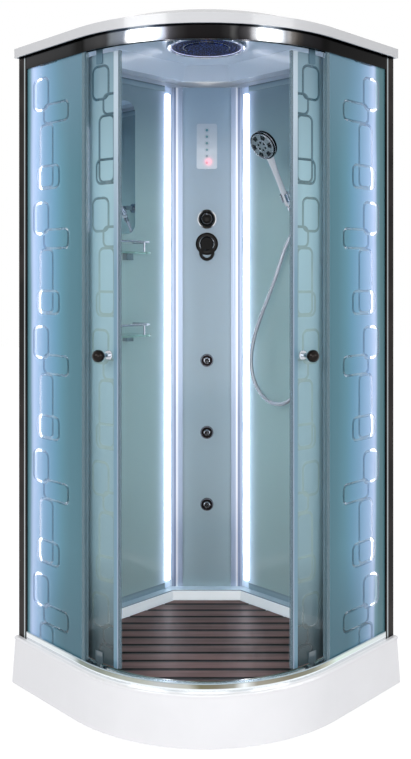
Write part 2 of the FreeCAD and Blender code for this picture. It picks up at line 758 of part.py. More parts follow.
def make_rail(label, base, section):
    """Sweeps an extruded rail's section round the front."""
    rail = body(label, CORNER)
    profile = sketch_on(rail, "XZ", -rail_start)
    edge = s.side - s.rail_inset
    outline(profile, [(edge - depth, base + rise) for depth, rise in section])
    follow(rail, profile, rail_path(rail, s.rail_inset, base))
    return rail


def make_bottom_rail():
    """The lower rail: outer web, groove lip for the glass, guide channel and inner web."""
    web = s.rail_web
    guide = s.guide_lip_offset
    depth = s.bottom_rail_depth
    section = [(0, 0), (0, s.bottom_rail_height), (web, s.bottom_rail_height), (web, web),
               (lip_offset, web), (lip_offset, s.groove_lip_height),
               (lip_offset + web, s.groove_lip_height),
               (lip_offset + web, web), (guide, web), (guide, s.groove_lip_height),
               (guide + web, s.groove_lip_height), (guide + web, web), (depth - web, web),
               (depth - web, s.inner_web_height), (depth, s.inner_web_height), (depth, 0)]
    return make_rail("bottom_rail", s.tray_top, section)


def make_top_rail():
    """The upper rail: fascia, glass groove, roller track and top flange."""
    web = s.rail_web
    section = [(0, 0), (0, s.top_rail_height), (s.top_rail_depth, s.top_rail_height),
               (s.top_rail_depth, s.top_rail_height - web), (web, s.top_rail_height - web),
               (web, s.track_height + s.track_thickness),
               (s.track_depth, s.track_height + s.track_thickness),
               (s.track_depth, s.track_height), (lip_offset + web, s.track_height),
               (lip_offset + web, 0), (lip_offset, 0), (lip_offset, s.track_height),
               (web, s.track_height), (web, 0)]
    return make_rail("top_rail", top_rail_base, section)


post_height = top_rail_base + s.top_rail_height - s.tray_top


def post_plan(flip):
    """A post's hollow section: slots for the wall panel and for the fixed glass."""
    far = s.side - s.rail_inset
    near = far - s.post_depth
    v0 = s.post_start
    v1 = s.post_start + s.post_width
    gap = s.fit_clearance
    panel_low = s.wall_inset - gap
    panel_high = wall_face + gap
    glass_far = s.side - s.fixed_inset + gap
    glass_near = s.side - fixed_inner_inset - gap
    slot = s.post_slot
    outer = [(near, v0), (far, v0), (far, v1), (glass_far, v1), (glass_far, v1 - slot),
             (glass_near, v1 - slot), (glass_near, v1), (near, v1), (near, panel_high),
             (near + slot, panel_high), (near + slot, panel_low), (near, panel_low)]
    wall = s.post_wall
    chamber = box_points(near + wall, v0 + wall, far - wall, panel_low - wall)
    if flip:
        outer = [(y, x) for x, y in outer]
        chamber = [(y, x) for x, y in chamber]
    return [outer, chamber]


def make_posts():
    """The two upright profiles where the glass meets the walls."""
    posts = body("corner_posts", CORNER)
    plan = sketch_on(posts, "XY", s.tray_top)
    for flip in (False, True):
        for loop in post_plan(flip):
            outline(plan, loop)
    pad(posts, plan, post_height)
    return posts


def fixed_point(radius):
    """A point at the inner end of the fixed glass, in the corner frame."""
    angle = RIGHT_ANGLE / 2 - s.fixed_glass_angle
    return (bow_centre + radius * cosine(angle), bow_centre + radius * sine(angle))


def fixed_band(outer, inner, start):
    """The fixed pane's plan: a straight run and a short piece of the bow."""
    far = s.side - outer
    near = s.side - inner
    return [(far, start), (far, bow_centre), Arc(bow_centre, bow_centre),
            fixed_point(s.bow_radius - outer), fixed_point(s.bow_radius - inner),
            Arc(bow_centre, bow_centre, False), (near, bow_centre), (near, start)]


def make_fixed_glass():
    """The fixed frosted panes beside the doors."""
    pane = body("fixed_glass_left", CORNER)
    start = s.post_start + s.post_width - s.post_slot + s.fit_clearance
    plan = sketch_on(pane, "XY", glass_bottom)
    outline(plan, fixed_band(s.fixed_inset, fixed_inner_inset, start))
    pad(pane, plan, glass_top - glass_bottom)
    return mirror("fixed_glass_right", pane)


def bow_place(radius, angle):
    """A point about the bow's centre in the corner frame; the angle starts at the middle."""
    turned = RIGHT_ANGLE / 2 - angle
    return (bow_centre + radius * cosine(turned), bow_centre + radius * sine(turned))


def make_fixed_seals():
    """The channel seals on the free edges of the fixed panes."""
    seals = node("fixed_glass_seals", "Part::Compound")
    seal = doc.addObject("PartDesign::Body", "fixed_seal_left")
    place(seal, **CORNER)
    outer = s.bow_radius - s.fixed_inset + s.fit_clearance
    inner = s.bow_radius - fixed_inner_inset - s.fit_clearance
    wall = s.seal_wall
    degrees = s.seal_width / s.bow_radius * HALF_TURN / math.pi
    thick = s.seal_wall / s.bow_radius * HALF_TURN / math.pi
    end = s.fixed_glass_angle
    first = end - thick - s.fit_clearance / s.bow_radius * HALF_TURN / math.pi
    back = end + degrees
    base = s.tray_top + s.bottom_rail_height + s.fit_clearance
    plan = sketch_on(seal, "XY", base)
    outline(plan, [bow_place(outer + wall, first), bow_place(inner - wall - s.seal_fin, first),
                   bow_place(inner - wall - s.seal_fin, first + thick),
                   bow_place(inner - wall, first + thick),
                   bow_place(inner - wall, back), bow_place(inner, back), bow_place(inner, end),
                   bow_place(outer, end), bow_place(outer, back), bow_place(outer + wall, back)])
    pad(seal, plan, top_rail_base - s.fit_clearance - base)
    twin = doc.addObject("Part::Mirroring", "fixed_seal_right")
    twin.Source = seal
    twin.Base = Vector(0, 0, 0)
    twin.Normal = Vector(1, 0, 0)
    seals.Links = [seal, twin]
    return seals


# Walls, column and lights

def make_wall_panels():
    """The two glass wall panels, from the column to the posts."""
    start = column_end - s.column_edge_depth
    end = s.side - s.rail_inset - s.post_depth + s.post_slot - s.fit_clearance
    for label, flip in (("wall_panel_left", False), ("wall_panel_right", True)):
        panel = body(label, CORNER)
        plan = sketch_on(panel, "XY", s.tray_top + s.trim_thickness)
        points = box_points(start, s.wall_inset, end, wall_face)
        outline(plan, [(y, x) for x, y in points] if flip else points)
        pad(panel, plan, wall_top - s.tray_top - s.trim_thickness * 2)
        if flip:
            hole = sketch_on(panel, "YZ", wall_face)
            circle(hole, s.outlet_place, outlet_height, s.shank_collar_radius + s.fit_clearance)
            pocket(panel, hole, s.wall_thickness + s.overrun)


def make_wall_trims():
    """The channels that hold the wall panels at the tray and under the roof."""
    trims = body("wall_trims", CORNER)
    gap = s.fit_clearance
    end = s.side - s.rail_inset - s.post_depth - gap
    start = column_end + s.column_edge_depth + s.strip_width
    thick = s.trim_thickness
    profiles = []
    for flip in (False, True):
        for base, sign in ((s.tray_top, 1), (wall_top, -1)):
            low = s.wall_inset - gap - thick
            high = wall_face + gap + thick
            section = [(low, base), (high, base), (high, base + s.trim_height * sign),
                       (high - thick, base + s.trim_height * sign), (high - thick, base + thick * sign),
                       (low + thick, base + thick * sign), (low + thick, base + s.trim_height * sign),
                       (low, base + s.trim_height * sign)]
            profiles.append((flip, section))
    for flip, section in profiles:
        plane = "XZ" if flip else "YZ"
        sketch = sketch_on(trims, plane, -start if flip else start)
        outline(sketch, section)
        pad(trims, sketch, end - start, back=flip)
    return trims


def make_column_panel():
    """The flat panel across the corner that carries the controls, valves and jets."""
    panel = body("column_panel", COLUMN)
    half = s.column_width / 2
    face = sketch_on(panel, "XZ")
    outline(face, box_points(-half, s.tray_top, half, wall_top))
    for height in valve_heights():
        circle(face, 0, height, s.spindle_hole)
    for height in jet_heights():
        circle(face, 0, height, s.jet_hole)
    pad(panel, face, s.column_thickness, back=True)
    return panel


def valve_heights():
    """The heights of the two valve handles."""
    return [diverter_height, mixer_height]


def jet_heights():
    """The heights of the three body jets."""
    return [s.jet_low, s.jet_low + s.jet_pitch, s.jet_low + s.jet_pitch * 2]


def make_column_profiles():
    """The two upright edge profiles between the column panel and the walls."""
    edges = body("column_profiles", COLUMN)
    plan = sketch_on(edges, "XY", s.tray_top)
    half = s.column_width / 2
    depth = s.column_edge_depth
    wall = s.column_edge_wall
    thick = s.column_thickness
    gap = s.fit_clearance
    end = column_half - gap
    slant = wall * DIAGONAL
    for side in (1, -1):
        points = [(half - depth, -wall), (end, -wall), (end - depth, depth - wall),
                  (end - depth - slant, depth - wall), (end - slant - wall, 0), (half + gap + wall, 0),
                  (half + gap + wall, thick + gap + wall), (half - depth, thick + gap + wall),
                  (half - depth, thick + gap), (half + gap, thick + gap), (half + gap, 0),
                  (half - depth, 0)]
        points = [(x * side, y) for x, y in points]
        outline(plan, points)
    pad(edges, plan, wall_top - s.tray_top)
    return edges


def strip_starts():
    """Where the light strips begin along each wall."""
    at_column = column_end + s.strip_column_gap
    at_post = s.side - s.rail_inset - s.post_depth - s.strip_post_gap - s.strip_width
    return [at_column, at_post]


def make_light_strips():
    """The four upright light strips beside the column and the posts."""
    strips = body("light_strips", CORNER)
    base = s.tray_top + s.trim_height + s.strip_depth
    height = wall_top - s.tray_top - (s.trim_height + s.strip_depth) * 2
    plan = sketch_on(strips, "XY", base)
    low = wall_face
    high = wall_face + s.strip_depth
    slope = s.strip_depth / 2
    for start in strip_starts():
        end = start + s.strip_width
        points = [(start, low), (end, low), (end, high - slope), (end - slope, high),
                  (start + slope, high), (start, high - slope)]
        outline(plan, points)
        outline(plan, [(y, x) for x, y in points])
    pad(strips, plan, height)
    return strips


# Roof and ceiling shower

def make_roof():
    """The white roof: a rim that caps the rails, posts and walls, and a sloping dome."""
    roof = body("roof", CORNER)
    plate_under = top_rail_base + s.top_rail_height + s.fit_clearance
    rim_top = roof_base + s.roof_rim_height
    wall = s.roof_wall
    plate = sketch_on(roof, "XY", plate_under)
    outline(plate, quadrant(0, 0))
    pad(roof, plate, rim_top - plate_under)
    lip = sketch_on(roof, "XY", roof_base)
    outline(lip, quadrant(0, 0))
    outline(lip, quadrant(wall, wall))
    pad(roof, lip, plate_under - roof_base)
    outer_low = sketch_on(roof, "XY", plate_under)
    outline(outer_low, cut_quadrant(s.dome_inset - wall, s.dome_inset - wall, s.roof_cut))
    outer_high = sketch_on(roof, "XY", s.total_height)
    front = s.dome_inset + s.dome_run
    side = s.dome_inset + s.dome_wall_run
    outline(outer_high, cut_quadrant(front, side, s.roof_cut + s.dome_run))
    loft(roof, [outer_low, outer_high])
    inner_low = sketch_on(roof, "XY", plate_under - s.overrun)
    outline(inner_low, cut_quadrant(s.dome_inset, s.dome_inset, s.roof_cut + wall))
    inner_high = sketch_on(roof, "XY", ceiling)
    outline(inner_high, cut_quadrant(front - wall, side - wall, s.roof_cut + s.dome_run))
    loft(roof, [inner_low, inner_high], cut=True)
    return roof


ceiling = s.total_height - s.roof_wall * 2
RAIN = {"y": s.rain_centre}


def make_rain_ring():
    """The trim ring of the round ceiling shower."""
    ring = body("rain_head_ring", RAIN, z=ceiling)
    profile = sketch_on(ring, "XZ")
    inner = s.rain_radius - s.rain_ring_width
    drop = s.rain_ring_height
    outline(profile, [(inner, 0), (inner, -drop), (inner + s.rain_ring_width * s.rain_lip_share, -drop),
                      (s.rain_radius, -drop * s.rain_edge_share), (s.rain_radius, 0)])
    revolve(ring, profile, "Z")
    return ring


def make_rain_plate():
    """The spray plate inside the ring, with its raised middle and its water stem."""
    plate = body("rain_head_plate", RAIN, z=ceiling)
    profile = sketch_on(plate, "XZ")
    outer = s.rain_radius - s.rain_ring_width - s.rain_gap
    thick = s.rain_plate_thickness
    low = -thick - s.rain_step_height
    outline(profile, [(0, low), (s.rain_step_radius - s.rain_step_height, low),
                      (s.rain_step_radius, -thick), (outer, -thick), (outer, 0), (0, 0)])
    revolve(plate, profile, "Z")
    return plate


# Control panel and its electronics

def make_control_panel():
    """The touch panel on the column, with six raised keys."""
    panel = body("control_panel", COLUMN, z=control_centre)
    half = s.control_width / 2
    tall = s.control_height / 2
    face = sketch_on(panel, "XZ")
    outline(face, rounded_points(-half, -tall, half, tall, s.control_round))
    pad(panel, face, s.control_thickness)
    keys = sketch_on(panel, "XZ", s.control_thickness)
    for index in range(int(s.key_count.value)):
        circle(keys, 0, s.key_top_offset - s.key_pitch * index, s.key_radius)
    pad(panel, keys, s.key_rise)
    return panel


def make_control_box():
    """The closed electronics box behind the control panel."""
    box = body("control_box", {"y": column_y + s.column_thickness}, z=control_centre)
    half = s.box_width / 2
    tall = s.box_height / 2
    plan = sketch_on(box, "XZ")
    outline(plan, rounded_points(-half, -tall, half, tall, s.box_gap))
    pad(box, plan, s.box_depth, back=True)
    return box


# Tubes along straight runs joined by arcs

def rounded_wire(points, radii):
    """Straight runs joined by tangent arcs, one radius for each inner point."""
    edges = []
    here = points[0]
    for index in range(1, len(points) - 1):
        before = (points[index - 1] - points[index]).normalize()
        after = (points[index + 1] - points[index]).normalize()
        half_turn = (math.pi - before.getAngle(after)) / 2
        radius = radii[index - 1]
        setback = radius * math.tan(half_turn)
        start = points[index] + before * setback
        end = points[index] + after * setback
        middle_line = (before + after).normalize()
        middle = points[index] + middle_line * (radius / math.cos(half_turn) - radius)
        edges.append(Part.LineSegment(here, start).toShape())
        edges.append(Part.Arc(start, middle, end).toShape())
        here = end
    edges.append(Part.LineSegment(here, points[-1]).toShape())
    return Part.Wire(edges)


def tube_along(points, radii, radius):
    """A round tube along a rounded route."""
    path = rounded_wire(points, radii)
    heading = (points[1] - points[0]).normalize()
    section = Part.Wire(Part.Circle(points[0], heading, radius).toShape())
    tube = path.makePipeShell([section], True, False)
    expected = math.pi * radius * radius * path.Length
    drift = abs(tube.Volume - expected) / expected
    print("tube of %.0f mm, volume off by %.4f" % (path.Length, drift))
    return tube


def widest_radii(points, run_share):
    """The largest arc at each inner point that its two runs allow."""
    radii = []
    for index in range(1, len(points) - 1):
        before = points[index - 1] - points[index]
        after = points[index + 1] - points[index]
        half_turn = (math.pi - before.getAngle(after)) / 2
        radii.append(run_share * min(before.Length, after.Length) / math.tan(half_turn))
    return radii


def shape_node(label, shape, frame):
    """A piece whose shape is worked out in code from the sheet's sizes."""
    thing = node(label, "Part::Feature")
    thing.Shape = shape
    place(thing, **frame)
    return thing


# Valves, jets and pipes on the column

def make_escutcheons():
    """The round plates behind the two valve handles."""
    plates = body("valve_escutcheons", COLUMN)
    face = sketch_on(plates, "XZ")
    for height, radius in zip(valve_heights(), (s.diverter_plate_radius, s.mixer_plate_radius)):
        circle(face, 0, height, radius)
        circle(face, 0, height, s.spindle_radius + s.fit_clearance)
    pad(plates, face, s.escutcheon_thickness)
    return plates


def make_valve_body():
    """The brass body behind the panel, with its two spindles."""
    valve = body("valve_body", {"y": column_y + s.column_thickness})
    back = sketch_on(valve, "XZ")
    spindles = sketch_on(valve, "XZ")
    for height in valve_heights():
        circle(back, 0, height, s.valve_radius)
        circle(spindles, 0, height, s.spindle_radius)
    pad(valve, back, s.valve_depth, back=True)
    bridge = sketch_on(valve, "XZ", -s.valve_depth / 4)
    outline(bridge, box_points(-s.valve_bridge, mixer_height, s.valve_bridge, diverter_height))
    pad(valve, bridge, s.valve_depth / 2, back=True)
    pad(valve, spindles, s.column_thickness + s.escutcheon_thickness + s.spindle_reach)
    return valve


def handle_frame(height):
    """The frame on the front of a handle's plate."""
    return {"y": column_y - s.escutcheon_thickness - s.handle_gap, "z": height}


def handle_profile(handle, radius, height, edge):
    """Turns a handle with a bore for its spindle."""
    bore = s.spindle_radius + s.handle_bore_clearance
    depth = s.spindle_reach
    profile = sketch_on(handle, "XY")
    outline(profile, [(0, -height), (radius - edge, -height), Arc(radius - edge, edge - height),
                      (radius, edge - height), (radius, 0), (bore, 0), (bore, -depth), (0, -depth)])
    return revolve(handle, profile, "Y")


def make_diverter_knob():
    """The black diverter knob with a raised pointer."""
    knob = node("diverter_knob")
    place(knob, **handle_frame(diverter_height))
    handle_profile(knob, s.diverter_radius, s.diverter_height_out, s.tray_wall)
    pointer = sketch_on(knob, "XZ", s.diverter_height_out)
    half = s.diverter_mark
    reach = s.diverter_radius - s.tray_wall * 2
    outline(pointer, box_points(-half, s.diverter_mark, half, reach))
    pad(knob, pointer, s.diverter_mark)
    return knob


lever_pin_y = s.cap_height - s.lever_pin_depth + s.lever_pin_radius


def make_mixer_cap():
    """The turning cap of the mixer, slotted in front for the lever and its pin."""
    cap = node("mixer_cap")
    place(cap, **handle_frame(mixer_height))
    handle_profile(cap, s.cap_radius, s.cap_height, s.tray_wall)
    slot = sketch_on(cap, "XZ", s.cap_height)
    half = s.lever_slot_width / 2
    low = s.lever_slot_height * s.lever_slot_low_share
    outline(slot, box_points(-half, -low, half, s.lever_slot_height - low))
    pocket(cap, slot, s.lever_slot_depth)
    pin = sketch_on(cap, "YZ")
    circle(pin, -lever_pin_y, 0, s.lever_pin_radius)
    pad(cap, pin, s.lever_slot_width + s.overrun * 2, both=True)
    return cap


def make_mixer_lever():
    """The ring-shaped lever that lifts for flow and turns for temperature."""
    lever = node("mixer_lever")
    place(lever, **handle_frame(mixer_height))
    front = s.cap_height + s.fit_clearance * 2
    neck = s.lever_slot_width / 2 - s.fit_clearance
    tall = s.lever_slot_height * s.lever_tongue_share
    ring = sketch_on(lever, "XZ", front)
    circle(ring, 0, -s.lever_drop, s.lever_outer_radius)
    pad(lever, ring, s.lever_thickness)
    top = sketch_on(lever, "XZ", front)
    outline(top, box_points(-neck, -s.lever_drop + s.lever_inner_radius, neck, tall))
    pad(lever, top, s.lever_thickness)
    tongue = sketch_on(lever, "YZ")
    outline(tongue, [(-lever_pin_y, -tall), (-lever_pin_y, tall), (-front - s.overrun, tall),
                     (-front - s.overrun, -tall)])
    pad(lever, tongue, neck * 2, both=True)
    nose = sketch_on(lever, "YZ")
    circle(nose, -lever_pin_y, 0, tall)
    pad(lever, nose, neck * 2, both=True)
    eye = sketch_on(lever, "YZ")
    circle(eye, -lever_pin_y, 0, s.lever_pin_radius + s.handle_bore_clearance)
    pocket(lever, eye, s.lever_slot_width, both=True)
    hole = sketch_on(lever, "XZ", front + s.lever_thickness)
    circle(hole, 0, -s.lever_drop, s.lever_inner_radius)
    pocket(lever, hole, s.lever_thickness)
    return lever


def make_jet_housings():
    """The jet housings: a flange on the panel and a round socket for the nozzle."""
    housings = node("jet_housings", "Part::Compound")
    links = []
    for index, height in enumerate(jet_heights()):
        housing = doc.addObject("PartDesign::Body", "jet_housing_%d" % (index + 1))
        place(housing, y=column_y, z=height)
        profile = sketch_on(housing, "XY")
        socket = s.jet_ball_radius + s.fit_clearance
        centre = s.jet_ball_inset
        mouth_y = -s.jet_ring_height
        mouth = (socket * socket - (centre - mouth_y) * (centre - mouth_y)).root()
        back = s.jet_housing_depth
        outline(profile, [(mouth, mouth_y), (s.jet_ring_radius - s.overrun, mouth_y),
                          (s.jet_ring_radius, mouth_y / 2), (s.jet_ring_radius, 0),
                          (s.jet_housing_radius, 0), (s.jet_housing_radius, back), (0, back),
                          (0, centre + socket), Arc(0, centre, False), (mouth, mouth_y)][:-1])
        revolve(housing, profile, "Y")
        seat = sketch_on(housing, "YZ")
        circle(seat, centre, 0, s.jet_pin_radius + s.axle_clearance)
        reach = s.jet_ball_radius + s.jet_pin_length + s.fit_clearance
        pocket(housing, seat, reach * 2, both=True)
        links.append(housing)
    housings.Links = links
    return housings


def make_jet_nozzle(index, height):
    """One nozzle: a ball that tilts in its socket, with a spray face in front."""
    nozzle = node("jet_nozzle_%d" % index)
    place(nozzle, y=column_y + s.jet_ball_inset, z=height)
    profile = sketch_on(nozzle, "XY")
    ball = s.jet_ball_radius
    neck = s.jet_face_radius * s.jet_neck_share
    neck_y = (ball * ball - neck * neck).root()
    out = neck_y + s.jet_face_height
    outline(profile, [(0, ball), (0, -out), (s.jet_face_radius - s.overrun, -out),
                      (s.jet_face_radius - s.overrun, -out + s.overrun), (neck, -neck_y), Arc(0, 0)])
    revolve(nozzle, profile, "Y")
    pin = sketch_on(nozzle, "YZ")
    circle(pin, 0, 0, s.jet_pin_radius)
    pad(nozzle, pin, (ball + s.jet_pin_length) * 2, both=True)
    return nozzle


def make_supply_pipes():
    """The hot and cold inlets, the riser and the pipes between the jets."""
    middle = s.column_thickness + s.valve_depth / 2
    bend = s.pipe_bend.value
    shapes = []
    for side in (1, -1):
        route = [(s.valve_radius * side, middle, mixer_height),
                 (s.inlet_spread * side, middle, mixer_height),
                 (s.inlet_spread * side, middle, inlet_height),
                 (s.inlet_spread * side, middle + s.inlet_back, inlet_height)]
        points = [Vector(x.value, y.value, z.value) for x, y, z in route]
        shapes.append(tube_along(points, [bend] * 2, s.pipe_radius.value))
        nipple = Part.makeCylinder(s.nipple_radius.value, s.nipple_length.value, points[-1],
                                   Vector(0, 1, 0))
        shapes.append(nipple)
    pipe_y = s.column_thickness + s.valve_depth / 4
    turn_z = diverter_height + s.valve_radius + s.riser_lift
    riser = [(0, diverter_height + s.valve_radius), (0, turn_z), (s.riser_shift, turn_z),
             (s.riser_shift, wall_top - s.tray_wall)]
    riser_points = [Vector(as_size(x).value, pipe_y.value, z.value) for x, z in riser]
    shapes.append(tube_along(riser_points, [bend] * 2, s.pipe_radius.value))
    straight = []
    heights = jet_heights()
    stops = [mixer_height - s.valve_radius]
    for height in reversed(heights):
        straight.append((height + s.jet_housing_radius, stops[-1]))
        stops.append(height - s.jet_housing_radius)
    for low, high in straight:
        base = Vector(0, pipe_y.value, low.value)
        shapes.append(Part.makeCylinder(s.pipe_radius.value, (high - low).value, base, Vector(0, 0, 1)))
    first = shapes[0].fuse(shapes[1])
    second = shapes[2].fuse(shapes[3])
    return shape_node("supply_pipes", Part.makeCompound([first, second] + shapes[4:]), COLUMN)


# Hand shower, its holder and its hose on the right wall

def corner_place(u, v):
    """A point of the corner frame in the cabin's own frame."""
    return ((v - u) * HALF_DIAGONAL, corner_y - (u + v) * HALF_DIAGONAL)


def tilted_frame(thing, u, v, z):
    """Places a piece of the hand shower, tilted out from the right wall."""
    x, y = corner_place(u, v)
    place(thing, x, y, z)
    turn = FreeCAD.Rotation(Vector(0, 0, 1), CORNER_TURN)
    tilt = FreeCAD.Rotation(Vector(0, 1, 0), s.hand_tilt.value)
    thing.Placement.Rotation = turn.multiply(tilt)


pivot_u = wall_face + s.holder_base_height + s.holder_arm_length
cup_offset = s.cup_radius + s.holder_arm_radius + s.fit_clearance
knuckle_width = s.cup_pin_length


def make_shower_bracket():
    """The wall bracket with the fork and pin that the cup turns on."""
    bracket = body("shower_bracket", CORNER)
    base = sketch_on(bracket, "YZ", wall_face)
    circle(base, s.holder_place, holder_height, s.holder_base_radius)
    pad(bracket, base, s.holder_base_height)
    arm = sketch_on(bracket, "YZ", wall_face + s.holder_base_height)
    circle(arm, s.holder_place, holder_height, s.holder_arm_radius)
    pad(bracket, arm, s.holder_arm_length - s.holder_arm_radius - s.overrun)
    ear = s.cup_pin_radius
    half = knuckle_width / 2 + s.fit_clearance
    for side in (1, -1):
        fork = sketch_on(bracket, "XZ", -s.holder_place - half * side)
        outline(fork, [(pivot_u, holder_height + s.holder_arm_radius),
                       (pivot_u - s.holder_arm_radius * 2, holder_height + s.holder_arm_radius),
                       (pivot_u - s.holder_arm_radius * 2, holder_height - s.holder_arm_radius),
                       (pivot_u, holder_height - s.holder_arm_radius), Arc(pivot_u, holder_height)])
        pad(bracket, fork, ear, back=side > 0)
    pin = sketch_on(bracket, "XZ", -s.holder_place)
    circle(pin, pivot_u, holder_height, s.cup_pin_radius)
    pad(bracket, pin, half * 2 + ear, both=True)
    return bracket


def make_holder_cup():
    """The cup that clasps the handle and swivels on the bracket's pin."""
    cup = node("holder_cup")
    tilted_frame(cup, pivot_u, s.holder_place, holder_height)
    half = s.cup_height / 2
    ring = sketch_on(cup, "XY", -half)
    circle(ring, cup_offset, 0, s.cup_radius)
    pad(cup, ring, s.cup_height)
    arm = sketch_on(cup, "XZ")
    outline(arm, box_points(0, -s.holder_arm_radius / 2, cup_offset, s.holder_arm_radius / 2))
    pad(cup, arm, knuckle_width, both=True)
    knuckle = sketch_on(cup, "XZ")
    circle(knuckle, 0, 0, s.holder_arm_radius - s.fit_clearance * 2)
    pad(cup, knuckle, knuckle_width, both=True)
    eye = sketch_on(cup, "XZ")
    circle(eye, 0, 0, s.cup_pin_radius + s.axle_clearance)
    pocket(cup, eye, knuckle_width + s.overrun, both=True)
    bore = sketch_on(cup, "XY", half)
    circle(bore, cup_offset, 0, s.cup_bore)
    pocket(cup, bore, s.cup_height)
    gap = sketch_on(cup, "XY", half)
    opening = s.cup_bore * s.cup_gap_share
    outline(gap, box_points(cup_offset, -opening, cup_offset + s.cup_radius + s.overrun, opening))
    pocket(cup, gap, s.cup_height)
    return cup


def hand_frame(thing, up):
    """Places a piece of the handset along the handle's line."""
    tilt = s.hand_tilt
    u = pivot_u + cup_offset * cosine(tilt) + up * sine(tilt)
    z = holder_height - cup_offset * sine(tilt) + up * cosine(tilt)
    tilted_frame(thing, u, s.holder_place, z)


head_up = s.handle_length + s.head_tip + s.handle_radius


def turned_solid(points, axis):
    """A solid of revolution about an axis through the origin, from points in the XZ or XY plane."""
    corners = [Vector(*[as_size(value).value for value in point]) for point in points]
    return Part.Face(Part.makePolygon(corners + corners[:1])).revolve(Vector(0, 0, 0), axis, FULL_TURN)


def make_hand_shower():
    """The handset: a tapered handle with its hose nut, joined to a round head."""
    low = -(head_up + s.cup_height)
    back = s.head_depth * s.head_back_share
    front = s.head_depth - back
    handle = turned_solid(
        [(0, 0, low - s.hose_nut_length), (s.hose_nut_radius - s.overrun, 0, low - s.hose_nut_length),
         (s.hose_nut_radius, 0, low), (s.handle_radius, 0, low),
         (s.handle_radius, 0, s.cup_height - head_up),
         (s.handle_top_radius, 0, -s.head_radius),
         (s.handle_top_radius - s.overrun, 0, -s.head_radius * s.head_back_share),
         (0, 0, -s.head_radius * s.head_back_share)], Vector(0, 0, 1))
    head = turned_solid(
        [(front, 0, 0), (front, s.head_radius - s.overrun, 0), (front - s.head_rim, s.head_radius, 0),
         (0, s.head_radius, 0), (-back * s.head_step_share, s.head_radius * s.head_waist_share, 0),
         (-back, s.head_radius * s.head_crown_share, 0), (-back, 0, 0)], Vector(1, 0, 0))
    seat_depth = s.face_pin_height + s.fit_clearance
    seat = Part.makeCylinder((s.face_pin_radius + s.axle_clearance).value, seat_depth.value,
                             Vector((front - seat_depth).value, 0, 0), Vector(1, 0, 0))
    hand = node("hand_shower", "Part::Feature")
    hand.Shape = handle.fuse(head).cut(seat)
    hand_frame(hand, head_up)
    return hand


def make_spray_face():
    """The turning spray face that selects the jet pattern."""
    face = node("spray_face")
    hand_frame(face, head_up)
    front = s.head_depth * (1 - s.head_back_share) + s.fit_clearance
    profile = sketch_on(face, "XZ")
    outline(profile, [(front - s.face_pin_height, 0), (front - s.face_pin_height, s.face_pin_radius),
                      (front, s.face_pin_radius), (front, s.face_radius),
                      (front + s.face_height * s.face_edge_share, s.face_radius - s.overrun),
                      (front + s.face_height, s.face_radius * s.face_edge_share),
                      (front + s.face_height, 0)])
    revolve(face, profile, "X")
    return face


# The hose's route from the handset to the wall outlet: along the right wall, down from the roof,
# and out from the wall
HOSE_ROUTE = [
    (490, 484.3, 62.5), (490, 529.4, 33.2), (480, 606, 42), (456, 690, 52), (424, 770, 60),
    (389, 850, 64), (352, 926, 66), (318, 1002, 66), (306, 1080, 64), (330, 1148, 62), (385, 1190, 58),
    (448, 1192, 56), (500, 1158, 54), (540, 1100, 52), (566, 1020, 50), (584, 936, 50), (596, 850, 56),
    (600, 777, 65), (600, 728, 65),
]


def make_hose_outlet():
    """The wall elbow that feeds the hose, with its shank through the wall."""
    u = wall_face
    arm = s.outlet_arm
    route = [(u, s.outlet_place, outlet_height), (u + arm, s.outlet_place, outlet_height),
             (u + arm, s.outlet_place, outlet_height - arm)]
    points = [Vector(x.value, y.value, z.value) for x, y, z in route]
    elbow = tube_along(points, [s.outlet_bend.value], s.outlet_arm_radius.value)
    base = Part.makeCylinder(s.outlet_base_radius.value, s.outlet_base_height.value, points[0],
                             Vector(1, 0, 0))
    nut = Part.makeCylinder(s.hose_nut_radius.value, s.hose_nut_length.value, points[-1],
                            Vector(0, 0, -1))
    shank = [base, nut]
    start = u
    for radius, length in ((s.shank_collar_radius, s.wall_thickness + s.shank_step),
                           (s.shank_neck_radius, s.shank_step * 2), (s.nipple_radius, s.nipple_length)):
        foot = Vector(start.value, s.outlet_place.value, outlet_height.value)
        shank.append(Part.makeCylinder(radius.value, length.value, foot, Vector(-1, 0, 0)))
        start = start - length
    shape = elbow.fuse(shank).removeSplitter()
    return shape_node("hose_outlet", shape, CORNER)


def make_hose():
    """The flexible hose."""
    points = [Vector(u, v, roof_base.value - drop) for v, drop, u in HOSE_ROUTE]
    radii = widest_radii(points, s.hose_bend_share.value)
    print("hose radii", [round(radius) for radius in radii])
    return shape_node("shower_hose", tube_along(points, radii, s.hose_radius.value), CORNER)


# Shelves and mirror on the left wall

def shelf_bases():
    """The heights of the two glass shelves."""
    return [roof_base - s.lower_shelf_drop, roof_base - s.upper_shelf_drop]


def make_shelf_glasses():
    """The two glass shelves with round front corners."""
    glasses = body("shelf_glasses", CORNER)
    start = s.shelf_start
    end = start + s.shelf_length
    wall = wall_face + s.fit_clearance
    front = wall_face + s.shelf_depth
    turn = s.shelf_round
    for height in shelf_bases():
        plan = sketch_on(glasses, "XY", height)
        outline(plan, [(start, wall), (end, wall), (end, front - turn), Arc(end - turn, front - turn),
                       (end - turn, front), (start + turn, front), Arc(start + turn, front - turn),
                       (start, front - turn)])
        pad(glasses, plan, s.shelf_thickness)
    return glasses


